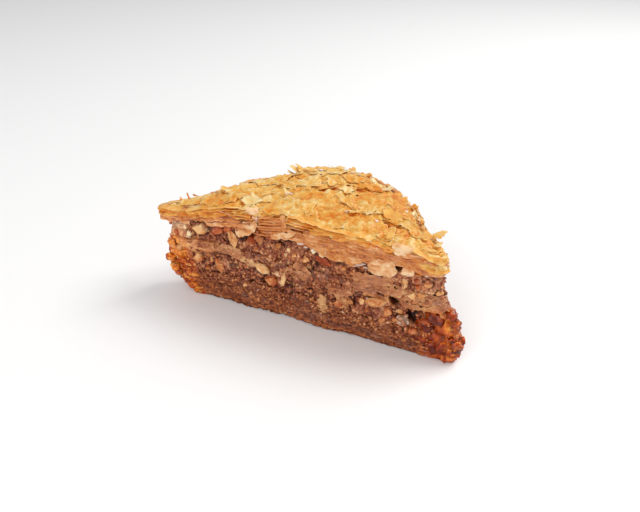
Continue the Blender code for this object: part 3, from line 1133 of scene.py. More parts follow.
def at_stack(points):
    """Whether each point lies over the short stretch where a few leaves were cut clean."""
    x, z = points[:, 0] / MM, points[:, 2] / MM
    low = np.interp(x, STACK_X, (STACK_LEFT, STACK_RIGHT)) - 0.5
    between_ends = (x > STACK_X[0]) & (x < STACK_X[1])
    return on_long_face(points) & between_ends & (z > low) & (z < low + STACK_SHEETS + 0.6)


def crust_cover(seed, front_from, share):
    """Where a crust skin is left: patches all round, and all of the front right of front_from."""
    def cover(points):
        patches = noise_at(points, 6.0, seed) + 0.3 * noise_at(points, 1.5, seed + 1) + share
        x = points[:, 0] / MM
        front = on_long_face(points) * ease((x - front_from) / 4.0)
        bare = on_long_face(points) * ease((front_from - x) / 3.0)
        return patches + 0.9 * front - 0.55 * bare - 3.0 * at_stack(points)
    return cover


def soft_cover(seed, share):
    """Where a soft skin is left: patches, and wherever the soft leaves are smeared."""
    def cover(points):
        patches = noise_at(points, 4.0, seed) + 0.45 * noise_at(points, 1.4, seed + 1) + share
        return patches + smeared(points)
    return cover


soft_shape = shapes["middle_pastry"]
skins = [
    pressed_band(crust_shape, 0.52, HEM_LOW, 0.45, 0.45, crust_cover(141, -12.0, 0.1), 143),
    pressed_band(crust_shape, 0.64, HEM_MIDDLE, 0.65, 0.41, crust_cover(151, 0.0, -0.02), 153),
    pressed_band(crust_shape, 0.76, HEM_HIGH, 0.6, 0.50, crust_cover(161, 14.0, -0.12), 163),
]
finish_piece(join_pieces(skins, "pressed_crust"), pressed_material, "baked_flakes", "top_pastry")
skins = [
    pressed_band(soft_shape, 0.9, HEM_SOFT, 0.3, 0.42, soft_cover(171, -0.02), 173, smooth=0.1),
    pressed_band(soft_shape, 1.1, HEM_SOFT_HIGH, 0.4, 0.5, soft_cover(181, -0.14), 183, smooth=0.1),
]
finish_piece(join_pieces(skins, "pressed_middle"), soft_material, "soft_pastry", "middle_pastry")

# %% [markdown]
# ## The cracked top
#
# The last few leaves baked dry and cracked. Each is a fine grid laid over the crust and broken into
# cells: a cell is a shard with its own tilt and shade, its border lifts, and some cells are gone, so
# that the leaf beneath shows. Deeper leaves have larger shards; the topmost has small loose ones.

# %% Measures of the top
GRID_STEP = 0.36 * MM
RIM_BATCH = 4000
SEAMS = (
    # long open splits in the top, as points (x, y in mm) along each
    ((-2.5, -5.2), (1.5, -2.6), (5.0, 1.2), (8.5, 1.4), (13.5, 2.0), (17.0, 3.4)),
    ((-14.0, 5.2), (-8.0, 7.6), (-2.0, 9.6)),
    ((23.0, -14.6), (26.5, -15.2), (29.0, -14.2)),
)
SINK_FACE, SINK_BACK = 0.35 * MM, 1.1 * MM
FOLD_SHARES = (1.0, 0.8, 0.6, 0.45)
box_low, box_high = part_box("top_pastry")
crust_rim = crust_shape.side_points(np.arange(STATIONS) / STATIONS, 0.8)[:, :2]


def roof_heights(places):
    """Crust height under each plan place, and past the rim the height just inside it."""
    heights = np.zeros(len(places))
    for index, (x, y) in enumerate(places):
        z, pull = crust_shape.height_at(x, y), 0.0
        while z is None:
            pull += 0.03
            z = crust_shape.height_at(x * (1 - pull), y + (MIDDLE.y - y) * pull)
        heights[index] = z
    return heights


def rim_margin(places):
    """Distance from each plan place to the rim: positive inside, negative outside."""
    margin = np.zeros(len(places))
    for start in range(0, len(places), RIM_BATCH):
        part = places[start:start + RIM_BATCH]
        distance = ((part[:, None, :] - crust_rim[None, :, :]) ** 2).sum(axis=2)
        nearest = distance.argmin(axis=1)
        sign = np.einsum("ij,ij->i", part - crust_rim[nearest], crust_shape.outward[nearest])
        margin[start:start + RIM_BATCH] = np.where(sign < 0, 1.0, -1.0) * np.sqrt(distance.min(axis=1))
    return margin


def seam_gap(places):
    """Distance in mm from each plan place to the nearest open split."""
    nearest = np.full(len(places), 1e3)
    for seam in SEAMS:
        for start, end in zip(seam, seam[1:]):
            span = np.subtract(end, start)
            offset = places[:, :2] / MM - start
            along = clamp(offset @ span / (span @ span))
            nearest = np.minimum(nearest, np.linalg.norm(offset - along[:, None] * span, axis=1))
    return nearest


def folds_at(points, size, seed):
    """Crumpled-paper relief, 0 to 1: a few wandering creases laid over each other."""
    rng = random.Random(seed)
    warp_x = noise_at(points, 2.2 * size, seed)
    warp_y = noise_at(points, 2.2 * size, seed + 1)
    total = np.zeros(len(points))
    for share in FOLD_SHARES:
        turn = rng.uniform(0.0, math.pi)
        across = points[:, 0] * math.cos(turn) + points[:, 1] * math.sin(turn)
        phase = across / (size * MM * share) + 0.9 * warp_x * math.cos(turn) + 0.9 * warp_y + rng.random()
        total += share * np.abs(np.mod(phase, 1.0) * 2.0 - 1.0)
    return total / sum(FOLD_SHARES)


def plan_shift(points, size, seed):
    """Sideways wandering of plan places: noise along X and Y, nothing along Z."""
    shift = np.zeros((len(points), 3))
    shift[:, 0], shift[:, 1] = noise_at(points, size, seed), noise_at(points, size, seed + 1)
    return shift


print("top box", [round(v / MM, 1) for v in (*box_low, *box_high)])

# %% Cracked leaves


def flat_grid(name, columns, rows):
    """Unit grid lying flat."""
    deselect_all()
    bpy.ops.mesh.primitive_grid_add(x_subdivisions=columns, y_subdivisions=rows, size=1.0)
    return named(bpy.context.active_object, name)


def crust_grid(name):
    """Flat grid over the crust's box, cut down to its outline."""
    columns, rows = (int((side + 3 * MM) / GRID_STEP) for side in (box_high - box_low).xy)
    piece = flat_grid(name, columns, rows)
    middle = (box_low + box_high) / 2.0
    places = read_points(piece) * [columns * GRID_STEP, rows * GRID_STEP, 0.0] + [middle.x, middle.y, 0.0]
    write_points(piece, places)
    return trim_sheet(piece, rim_margin(places[:, :2]) > -1.6 * MM, rounds=0)


def cracked_leaf(name, shard, cover, lift, tilt, inset, seed, tone):
    """A leaf of the top, cracked in cells of size shard; cover is the share of cells left."""
    piece = crust_grid(name)
    places = read_points(piece)
    bends = plan_shift(places, 4.0, seed)
    jags = plan_shift(places, 1.1, seed + 2)
    warped = places + (1.8 * bends + 0.55 * jags) * MM
    near, edge, lot = cells_at(warped * [0.8, 1.2, 0.0], shard, seed)
    margin = rim_margin(places[:, :2])
    split = seam_gap(warped)
    wobble = noise_at(places, 3.0, seed + 4) * 0.9 * MM + noise_at(places, 0.9, seed + 5) * 0.3 * MM
    border = clamp(1.0 - edge / 0.25)
    number = np.round(lot * 997.0)
    lean = 2.0 * math.pi * hashed(number, 3.0)
    slope = tilt * (hashed(number, 5.0) - 0.3)
    slant = (np.cos(lean) * bends[:, 0] + np.sin(lean) * bends[:, 1]) * 0.6
    creases = folds_at(places, 5.0, 77)
    small = folds_at(places, 2.2, seed + 8)
    crinkle = folds_at(places, 1.1, seed + 10)
    grain = noise_at(places, 0.8, seed + 9)
    fibres = noise_at(warped * [1.5, 0.35, 0.0], 1.1, seed + 12)
    back = behind(places)
    height = roof_heights(places[:, :2]) + lift - SINK_FACE - (SINK_BACK - SINK_FACE) * back
    height += (0.95 * creases + 0.55 * small + 0.37 * crinkle + 0.12 * fibres + 0.08 * grain) * MM
    height += (slope * (near - 0.3 + slant) + 0.3 * border * (hashed(number, 7.0) > 0.6)) * MM
    height -= ease(1.0 - margin / (2.6 * MM)) * (0.5 + 0.5 * back) * MM
    height -= ease(1.2 - 1.2 * split) * 0.5 * MM
    write_points(piece, np.column_stack([places[:, :2], height]))
    toast = noise_at(places, 9.0, 95) + 0.5 * noise_at(places, 3.5, 97)
    # Painted shade and highlight: the tone falls in the crease valleys and near the splits and rises on the
    # crests, and the splits are darkened; each shard's own lot and the toasted patches are real colour.
    shade = tone + 0.16 * (hashed(number, 9.0) - 0.5) + 0.5 * (small - 0.5) + 0.45 * (creases - 0.5)
    shade += 0.42 * (crinkle - 0.5) + 0.12 * fibres - 0.22 * toast + 0.1 * grain - 0.4 * ease(1.3 - split)
    shade += 0.08 - 0.17 * ease((places[:, 0] / MM + 30.0) / 60.0)
    write_values(piece, tone=shade, hollow=0.35 * ease(1.0 - 1.2 * split))
    kept = (margin + wobble > inset) & (hashed(number, 11.0) < cover)
    kept &= margin > (-0.2 - 0.8 * back) * MM
    kept &= (split > 0.5 + 0.3 * jags[:, 0]) | (lift < -0.3 * MM)
    trim_sheet(piece, kept, rounds=3, edge_highlight=0.3)
    return thicken(piece, 0.13 * MM)


CRACKED = (
    # name, shard size mm, share left, lift, tilt mm, inset from the rim, seed, tone
    ("top_leaf_1", 16.0, 1.00, -0.60 * MM, 0.2, -0.6 * MM, 101, 0.48),
    ("top_leaf_2", 14.0, 0.84, -0.30 * MM, 0.3, 0.0 * MM, 111, 0.54),
    ("top_leaf_3", 10.0, 0.60, -0.05 * MM, 0.45, 0.4 * MM, 121, 0.58),
    ("top_leaf_4", 8.0, 0.34, 0.18 * MM, 0.6, 0.7 * MM, 131, 0.62),
    ("top_leaf_5", 5.5, 0.14, 0.40 * MM, 0.7, 1.0 * MM, 141, 0.66),
)
for row in CRACKED:
    finish_piece(cracked_leaf(*row), crust_material, "baked_flakes", "top_pastry")

# %% [markdown]
# ## Golden leaves rolled over the rim
#
# Where the top leaf was not cut clean it was pushed over the edge and baked there. The left point is
# wrapped in one smooth golden fold, and on the right the flakes hang down the side. These are bands
# too, but their upper edge is pulled in over the roof, so that they turn the corner.

# %% Rim skins
HEM_RIM = ((-50, 29.8), (-46, 29.9), (-35, 32.4), (-26, 35.4), (-10, 37.6), (0, 37.0), (14, 35.8), (24, 36.0),
           (33, 34.6), (37, 32.4), (40, 30.4), (46, 29.6))
HEM_RIM_HIGH = ((-50, 30.6), (-46, 31.0), (-35, 33.8), (-26, 36.6), (0, 38.2), (14, 37.0), (34, 36.6),
                (46, 32.4))
HEM_TUCK = ((-51, 27.0), (-44, 27.0), (-36, 27.9), (-28, 29.6), (-20, 31.0), (0, 32.0), (46, 30.0))
TONGUE, RIM, RIGHT_END = (-60.0, -15.0), (-5.5, 60.0), (36.0, 60.0)


def rim_cover(seed, share, *spans):
    """Where a rim leaf is left: patches all round, and on the long face the given spans of x (mm)."""
    def cover(points):
        x = points[:, 0] / MM
        patches = noise_at(points, 5.0, seed) + 0.35 * noise_at(points, 1.5, seed + 1)
        inside = np.zeros(len(points))
        for left, right in spans:
            inside = np.maximum(inside, ease((x - left) / 2.0) * ease((right - x) / 2.0))
        left_over = np.where(on_long_face(points), inside - 0.5 + 0.6 * patches, patches + share)
        return left_over - 3.0 * at_stack(points)
    return cover


def between(share):
    """A hem that lies the given share of the way down from the rim's hem to the tucked one."""
    stops = sorted({x for x, _ in HEM_RIM} | {x for x, _ in HEM_TUCK})
    high, low = (np.interp(stops, *zip(*hem)) for hem in (HEM_RIM, HEM_TUCK))
    return tuple(zip(stops, high + (low - high) * share))


shingle = {"rise": 0.38, "smooth": 0.2, "thickness": 0.22 * MM, "ragged": 0.7}
rolled = [
    pressed_band(crust_shape, 1.0, HEM_RIM_HIGH, 1.05, 0.60, rim_cover(211, -0.16, TONGUE, RIM), 214,
                 roll=3.0, smooth=0.3, thickness=0.25 * MM, ragged=0.45),
    pressed_band(crust_shape, 0.95, HEM_RIM, 0.85, 0.50, rim_cover(201, -0.12, TONGUE, RIM), 204,
                 roll=2.4, smooth=0.2, thickness=0.22 * MM, ragged=0.6),
    pressed_band(crust_shape, 0.86, between(0.22), 0.7, 0.36,
                 rim_cover(221, -0.2, TONGUE, (-5.5, 30.0), RIGHT_END), 224, **shingle),
    pressed_band(crust_shape, 0.8, between(0.44), 0.6, 0.40,
                 rim_cover(231, -0.24, TONGUE, (2.0, 16.0), RIGHT_END), 234, **shingle),
]
finish_piece(join_pieces(rolled, "rim_leaves"), crust_material, "baked_flakes", "top_pastry")
shingle.update(smooth=0.1, thickness=0.25 * MM)
tucked = [pressed_band(crust_shape, crest, hem, out, tone, rim_cover(seed, -0.3, TONGUE), seed + 3,
                       **shingle | {"rise": rise})
          for crest, hem, out, tone, seed, rise in (
              (0.7, between(0.7), 0.6, 0.44, 241, 0.38), (0.6, HEM_TUCK, 0.55, 0.54, 251, 0.42))]
finish_piece(join_pieces(tucked, "tucked_leaves"), pressed_material, "baked_flakes", "top_pastry")

# %% [markdown]
# ## Chopped nuts
#
# The nuts were chopped by knife: flat bright cuts, and here and there the round outside with its
# brown skin. So each master is a ball cut by a few planes in edit mode, with the cuts filled, and
# the stored tone is lower where the ball's own surface is left. Seven masters are enough.

# %% Nut masters
AXIS_SHIFTS = (Vector((9.3, -1.5, -7.9)), Vector((0.4, 0.2, 0.1)), Vector((6.3, 0.2, -2.7)))
NUT_CUTS = (
    # name, fineness, proportions, share of skin tone, seed, cuts (direction, distance)
    ("almond", 3, (1.0, 0.62, 0.55), 0.15, 1, (((0, 0, -1), 0.1), ((1, 0.2, 0.5), 0.42))),
    ("leafy", 3, (1.0, 0.6, 0.5), 0.2, 7, (
        ((0.1, 0.5, 0.9), 0.14), ((-0.1, -0.6, 0.9), 0.16), ((1, 0.7, 0), 0.3), ((1, -0.8, 0), 0.34))),
    ("chunk", 3, (1.0, 0.8, 0.75), 0.35, 2, (
        ((0.2, 0.1, 1), 0.24), ((1, 0.3, 0.1), 0.3), ((-0.4, 1, 0.2), 0.3), ((-1, -0.4, 0.3), 0.34))),
    ("block", 2, (1.0, 0.9, 0.8), 0.2, 3, (
        ((0, 0.1, 1), 0.26), ((1, 0, 0.2), 0.3), ((-1, 0.1, 0), 0.28), ((0, 1, 0.1), 0.28),
        ((0.1, -1, 0), 0.3))),
    ("sliver", 2, (1.0, 0.36, 0.32), 0.3, 4, (((0, 0.3, 1), 0.2), ((0.1, 1, -0.2), 0.24))),
    ("wedge", 2, (1.0, 0.75, 0.6), 0.25, 5, (
        ((0, 0.6, 1), 0.12), ((0.5, -0.8, 0.5), 0.2), ((1, 0, 0), 0.36))),
    ("nib", 2, (1.0, 0.85, 0.8), 0.45, 6, (
        ((0.3, 0.2, 1), 0.3), ((-1, 0.4, 0.3), 0.32), ((0.5, -1, 0.2), 0.34))),
)


def unit_ball(name, fineness):
    deselect_all()
    bpy.ops.mesh.primitive_ico_sphere_add(subdivisions=fineness, radius=0.5)
    return named(bpy.context.active_object, name)


def knocks(points, size, seed):
    """Pushes along X, Y and Z, -1 to 1: the same noise read at three shifted places."""
    return np.array([
        [noise.noise(Vector(point) * size + Vector((seed, 0.0, 0.0)) + shift) for shift in AXIS_SHIFTS]
        for point in points])


def chopped(name, fineness, proportions, skin, seed, cuts):
    """A unit ball cut by planes and squashed; skin darkens what is left of the ball."""
    piece = unit_ball(name, fineness)
    bpy.ops.object.mode_set(mode="EDIT")
    for direction, distance in cuts:
        bpy.ops.mesh.select_all(action="SELECT")
        normal = Vector(direction).normalized()
        bpy.ops.mesh.bisect(plane_co=normal * distance, plane_no=normal, use_fill=True, clear_outer=True)
    bpy.ops.mesh.select_all(action="SELECT")
    bpy.ops.mesh.quads_convert_to_tris()
    bpy.ops.object.mode_set(mode="OBJECT")
    points = read_points(piece)
    outside = ease((np.linalg.norm(points, axis=1) - 0.46) / 0.03)
    rough, pitted = knocks(points, 3.1, seed), knocks(points, 7.0, seed + 20)
    write_points(piece, (points + 0.06 * rough + 0.02 * pitted) * np.array(proportions))
    write_values(piece, tone=0.25 * rough[:, 0] + 0.15 * pitted[:, 1] - skin * outside)
    piece.data.shade_smooth()
    select_only(piece)
    bpy.ops.object.shade_smooth_by_angle(angle=math.radians(35.0))
    return piece


nut_masters = {row[0]: chopped(*row) for row in NUT_CUTS}
print({name: len(master.data.polygons) for name, master in nut_masters.items()}, "faces")

# %% [markdown]
# ## Setting nuts into the cut
#
# A nut at the cut lies half sunk in paste. A matrix is built for each place: its Z looks out of the
# layer's side, its X runs along it, and the nut is turned and tipped in that frame. The ones that
# catch the eye are listed, and the rest are strewn round all sides at random.

# %% Placing things on a side


def side_frame(shape, share, level, sink):
    """Matrix at a place on a layer's side: X along the side, Y up, Z outwards."""
    station = int((share % 1.0) * STATIONS) % STATIONS
    outward = Vector((*shape.outward[station], 0.0))
    turn = Matrix((UP.cross(outward), UP, outward)).transposed().to_4x4()
    return Matrix.Translation(shape.side_points(share, level, -sink)[0]) @ turn


def face_share(shape, x):
    """Share of the way round at which the long cut face stands at x (mm)."""
    front = [i for i in range(STATIONS) if shape.outward[i][1] < -0.7]
    nearest = min(front, key=lambda i: abs(shape.rim[i, LEVELS // 2, 0] - x * MM))
    return nearest / STATIONS


def layer_at(x, z):
    """Layer shape, share and level of a place (mm) on the long cut face."""
    for shape in shapes.values():
        share = face_share(shape, x)
        station = int(share * STATIONS)
        low, high = shape.low[station] / MM - 0.2, shape.high[station] / MM + 0.2
        if low <= z <= high:
            return shape, share, (z - low) / (high - low)
    raise ValueError(f"no layer at {x}, {z}")


def turned(about_out, tip_x=0.0, tip_y=0.0):
    """Turn in the plane of the side, then tips about the two axes that lie in it (degrees)."""
    return (Matrix.Rotation(math.radians(about_out), 4, "Z") @ Matrix.Rotation(math.radians(tip_x), 4, "X")
            @ Matrix.Rotation(math.radians(tip_y), 4, "Y"))


def sized(length, width, thickness):
    return Matrix.Diagonal((length * MM, width * MM, thickness * MM, 1.0))


def strew(name, placings, masters, sharp=None):
    """One mesh of many copies, each given as master, matrix, tone and how browned it is.

    The masters are removed afterwards.
    """
    known = {}
    for master in masters:
        tones = np.zeros(len(master.data.vertices), dtype=np.float32)
        master.data.attributes["tone"].data.foreach_get("value", tones)
        known[master] = (read_points(master), [tuple(face.vertices) for face in master.data.polygons], tones)
    points, faces, tones, browned = [], [], [], []
    start = 0
    for master, matrix, tone, caramel in placings:
        own_points, own_faces, own_tones = known[master]
        turn = np.array(matrix)
        points.append(own_points @ turn[:3, :3].T + turn[:3, 3])
        faces += [tuple(start + corner for corner in face) for face in own_faces]
        tones.append(own_tones + tone)
        browned.append(np.full(len(own_points), caramel))
        start += len(own_points)
    mesh = bpy.data.meshes.new(name)
    mesh.from_pydata(np.concatenate(points).tolist(), [], faces)
    piece = bpy.data.objects.new(name, mesh)
    bpy.context.scene.collection.objects.link(piece)
    write_values(piece, tone=np.concatenate(tones), caramel=np.concatenate(browned))
    mesh.shade_smooth()
    if sharp is not None:
        select_only(piece)
        bpy.ops.object.shade_smooth_by_angle(angle=math.radians(sharp))
    for master in masters:
        bpy.data.objects.remove(master)
    return piece


nuts = []
for kind, x, z, length, width, thickness, turn, tone, stand in FACE_NUTS:
    matrix = side_frame(*layer_at(x, z), (0.35 - stand) * MM) @ turned(turn) @ sized(length, width, thickness)
    nuts.append((nut_masters[kind], matrix, tone, 0.0))
print(len(nuts), "nuts set by hand")

# %% [markdown]
# ## The strewn nuts
#
# The rest of the nuts fill both layers on every side. The random numbers are seeded, so they fall
# the same each time, and a nut that would land on one of the listed ones is left out.

# %% Strewn nuts
STREWN_NUTS = 190


def at_place(measure, place):
    """One place's answer from a function that measures many points."""
    return float(measure(np.array([place]))[0])


def in_hole(place):
    """Whether a place lies over one of the open holes, which stay clear."""
    return at_place(open_holes, place) > 0.4 * MM


def near_listed(place, reach):
    """Whether a place on the long face lies close to a listed nut."""
    if place.y > MIDDLE.y - FACE_DEPTH:
        return False
    x, z = place.x / MM, place.z / MM
    return any(math.hypot(x - row[1], z - row[2]) < 0.42 * row[3] + reach for row in FACE_NUTS)


rng = random.Random(5)
for node in ("lower_nut_filling", "upper_nut_filling"):
    for _ in range(STREWN_NUTS // 2):
        share, level = rng.random(), rng.uniform(0.0, 1.0)
        size = rng.uniform(1.4, 3.0) if rng.random() < 0.75 else rng.uniform(3.0, 4.6)
        tone = rng.choice((0.38, 0.42, 0.46, 0.52, 0.6, 0.8)) + rng.uniform(-0.06, 0.06)
        tips = turned(rng.uniform(0, 360), rng.uniform(-50, 50), rng.uniform(-50, 50))
        frame_here = side_frame(shapes[node], share, level, rng.uniform(0.0, 0.28) * size * MM)
        place = frame_here.translation
        if near_listed(place, 0.4 * size) or in_hole(place):
            continue
        matrix = frame_here @ tips @ sized(size, size * rng.uniform(0.8, 1.1), size * rng.uniform(0.8, 1.0))
        nuts.append((rng.choice([*nut_masters.values()]), matrix, tone, 0.7 * at_place(caramel_at, place)))
finish_piece(strew("chopped_nuts", nuts, nut_masters.values(), sharp=38.0), nut_material, "nut_filling",
             "lower_nut_filling", "upper_nut_filling")

# %% [markdown]
# ## Ground crumbs
#
# Between the chopped nuts lies what the knife ground fine. A crumb is about a millimetre across, so
# a twenty-sided ball, squashed and knocked out of true, is enough, but there have to be thousands.
# They also roll over the edges of the layers and hide where one ends and the next begins.

# %% Crumbs
CRUMBS_PER_BAND = 2300
BANDS = (
    # layer, lowest and highest level, share of the crumbs
    ("lower_nut_filling", -0.35, 1.1, 1.0),
    ("upper_nut_filling", -0.15, 1.0, 0.85),
    ("base_pastry", 0.55, 1.0, 0.35),
    ("middle_pastry", 0.0, 1.0, 0.6),
    ("top_pastry", -0.1, 0.18, 0.12),
)


def crumb_master(seed):
    """A twenty-sided ball, knocked out of true and squashed."""
    piece = unit_ball("crumb", 1)
    points = read_points(piece)
    write_points(piece, (points + 0.22 * knocks(points, 2.3, seed)) * np.array((1.0, 0.85, 0.7)))
    write_values(piece, tone=np.zeros(len(points)))
    piece.data.shade_smooth()
    return piece


crumb_masters = [crumb_master(seed) for seed in (1, 2, 3, 4)]
rng = random.Random(8)
crumbs = []
for node, lowest, highest, part in BANDS:
    for _ in range(int(CRUMBS_PER_BAND * part)):
        share, level = rng.random(), rng.uniform(lowest, highest)
        size = 0.45 + 1.1 * rng.random() ** 2.2
        frame_here = side_frame(shapes[node], share, level, rng.uniform(-0.15, 0.35) * MM)
        tips = turned(rng.uniform(0, 360), rng.uniform(-70, 70), rng.uniform(-70, 70))
        place = frame_here.translation
        if in_hole(place):
            continue
        if node == "middle_pastry" and rng.random() < 0.5 + 1.2 * at_place(smeared, place):
            continue
        browned, glow = at_place(caramel_at, place), at_place(end_glow, place)
        if max(browned, 2.0 * glow) > 0.5 and rng.random() < 0.75:
            continue
        tone = rng.choice((0.22, 0.32, 0.4, 0.46, 0.52, 0.72)) + rng.uniform(-0.06, 0.06) + 0.45 * glow
        matrix = frame_here @ tips @ sized(size, size, size)
        crumbs.append((rng.choice(crumb_masters), matrix, tone, 0.8 * browned))
finish_piece(strew("ground_crumbs", crumbs, crumb_masters), paste_material, "nut_filling")

# %% [markdown]
# ## Sticky corners
#
# At the two lower corners leaves and nuts have boiled together in syrup into shiny amber lumps. A
# lump is a ball pushed about by noise and half sunk; where the syrup has browned, lumps crowd.

# %% Lump masters
LUMP_TRIES = 900
TIP_LUMPS = (
    # layer, level, left end -1 or right end 1, size, how far it stands out (mm)
    ("lower_nut_filling", 0.2, -1, 4.0, 1.5),
    ("base_pastry", 0.95, -1, 4.2, 2.4),
    ("base_pastry", 0.7, -1, 3.8, 1.6),
    ("base_pastry", 0.4, -1, 3.4, 1.0),
    ("lower_nut_filling", 0.95, 1, 3.0, 0.8),
    ("lower_nut_filling", 0.6, 1, 3.4, 0.6),
    ("lower_nut_filling", 0.2, 1, 3.2, 0.3),
)
FACE_LUMPS = (
    # x, z, length, height, tone, how far it stands out (mm), on the long cut face
    (46.4, 11.4, 6.4, 9.0, 0.54, 0.4),
    (46.6, 5.2, 6.0, 7.4, 0.42, 0.3),
    (43.6, 8.2, 5.6, 7.0, 0.26, 0.3),
    (40.2, 11.0, 5.6, 3.8, 0.20, 0.5),
    (43.0, 3.8, 6.0, 4.4, 0.12, 0.2),
    (39.4, 6.2, 5.6, 3.6, 0.10, 0.2),
)


def lump_master(seed):
    """A ball knocked out of true, a little paler on one side."""
    piece = unit_ball("lump", 3)
    points = read_points(piece)
    knock, fine = knocks(points, 3.0, seed), knocks(points, 7.0, seed + 20)
    write_points(piece, points + 0.22 * knock + 0.08 * fine)
    write_values(piece, tone=0.5 * knock[:, 1] + 0.2 * fine[:, 1])
    return piece


sticky_material = food_material(
    "sticky_syrup", ((0.0, 96, 26, 4), (0.35, 156, 56, 8), (0.65, 206, 100, 20), (1.0, 244, 162, 66)),
    (84, 24, 8), 900.0, 0.00008, 0.36, 0.16, 0.45, 0.002, 0.35, 0.12, shine=0.25)
lump_masters = [lump_master(seed) for seed in (1, 2, 3)]
print(len(lump_masters), "lump masters")

# %% Syrup lumps
rng = random.Random(44)
lumps = []
for _ in range(LUMP_TRIES):
    shape = shapes[rng.choice(("base_pastry", "base_pastry", "lower_nut_filling", "middle_pastry"))]
    share, level, size = rng.random(), rng.uniform(0.04, 0.96), rng.uniform(1.4, 4.2)
    frame_here = side_frame(shape, share, level, rng.uniform(0.1, 0.28) * size * MM)
    place = frame_here.translation / MM
    if at_place(caramel_at, frame_here.translation) < 0.45 or in_hole(frame_here.translation):
        continue
    if (place.x < 0 and place.z > 13.5) or (place.x > 0 and rng.random() < 0.45):
        continue
    size *= 1.3 if place.x > 0 else 1.0
    tips = turned(rng.uniform(-30, 30), rng.uniform(-30, 30), rng.uniform(-30, 30))
    matrix = frame_here @ tips @ sized(size * rng.uniform(0.9, 1.5), 0.75 * size, 0.7 * size)
    # Painted light: lumps at the outermost ends are paler, for light coming through the syrup there.
    tone = rng.choice((0.0, 0.1, 0.2, 0.35)) + 0.25 * min(max((abs(place.x) - 43.0) / 5.0, 0.0), 1.0)
    tone += 0.52 if place.x < 0 else -0.1
    lumps.append((rng.choice(lump_masters), matrix, tone, 0.0))
for node, level, end, size, stand in TIP_LUMPS:
    shape = shapes[node]
    tip = int(np.argmax(end * shape.rim[:, LEVELS // 2, 0]))
    for shift in (-9, -3, 4, 10):
        share, sink = (tip + shift) / STATIONS, (0.35 * size - stand) * MM
        frame_here = side_frame(shape, share, level + rng.uniform(-0.1, 0.1), sink)
        own_size = size * rng.uniform(0.7, 1.0)
        matrix = frame_here @ turned(rng.uniform(-30, 30)) @ sized(1.1 * own_size, 0.8 * own_size, own_size)
        lumps.append((rng.choice(lump_masters), matrix, rng.uniform(0.4, 0.7) - 0.12 * end, 0.0))
for x, z, length, height, tone, stand in FACE_LUMPS:
    matrix = side_frame(*layer_at(x, z), (0.3 * length - stand) * MM) @ sized(length, height, 0.8 * length)
    lumps.append((rng.choice(lump_masters), matrix, tone, 0.0))
syrup_lumps = strew("syrup_lumps", lumps, lump_masters)
flattened = read_points(syrup_lumps)
flattened[:, 2] = np.maximum(flattened[:, 2], 0.0)
write_points(syrup_lumps, flattened)
finish_piece(syrup_lumps, sticky_material, "soaked_pastry")

# %% [markdown]
# ## Flaps on the cut face
#
# A few torn ends of leaves hang out of the long face, large enough to be seen one by one. Each is a
# grid stretched between four corners on the face, bulged outwards, rippled and thickened.

# %% Flaps
FLAPS = (
    # four corners (x, z in mm): top left, top right, lower right, lower left; stand-off, bulge, tone, rag
    (((-23.2, 30.8), (-14.3, 35.0), (-14.2, 30.9), (-21.4, 26.2)), 0.6, 0.4, 0.72, 0.5),
    (((21.0, 30.6), (29.4, 31.4), (31.2, 26.8), (22.4, 25.0)), 0.8, 0.8, 0.74, 0.6),
    (((-9.6, 31.4), (-1.0, 34.0), (-2.0, 31.6), (-9.0, 29.2)), 0.5, 0.4, 0.78, 0.9),
    (((-6.7, 37.8), (-4.9, 38.2), (-4.3, 33.4), (-6.1, 33.0)), 0.3, 0.2, 0.56, 0.3),
    (((31.2, 29.6), (35.6, 30.2), (35.2, 27.8), (31.6, 27.8)), 0.4, 0.3, 0.82, 0.8),
    (((28.4, 37.4), (34.4, 37.6), (34.2, 34.6), (28.6, 34.2)), 0.6, 0.6, 0.92, 0.6),
    (((13.0, 29.4), (20.6, 29.8), (19.6, 26.6), (14.0, 25.8)), 0.5, 0.5, 0.56, 1.2),
    (((-19.8, 37.6), (-13.8, 38.4), (-14.0, 34.8), (-17.8, 34.6)), 0.5, 0.5, 0.92, 0.8),
)
SOFT_FLAPS = (
    (((-21.4, 20.4), (-13.6, 18.8), (-13.6, 16.0), (-20.4, 17.2)), 0.0, 0.5, 0.85, 1.0),
    (((5.8, 13.0), (8.8, 12.6), (9.4, 5.4), (6.6, 5.8)), 0.0, 0.5, 0.8, 0.9),
    (((12.8, 13.2), (17.2, 13.6), (15.4, 9.0), (12.4, 9.6)), 0.0, 0.4, 0.6, 1.1),
    (((9.4, 16.6), (17.4, 17.4), (16.6, 14.2), (10.0, 13.6)), 0.0, 0.4, 0.5, 1.1),
    (((17.0, 24.8), (29.6, 25.2), (28.8, 20.2), (18.4, 18.8)), 0.0, 0.5, 0.52, 1.2),
    (((-1.0, 23.0), (4.6, 21.0), (3.0, 16.8), (-3.4, 18.6)), -0.1, 0.4, 0.55, 1.2),
)


def front_surface(x, z):
    """How far forward (y, metres) the solids reach at a place on the long face."""
    shape, share, level = layer_at(x, z)
    return shape.side_points(share, level)[0][1]


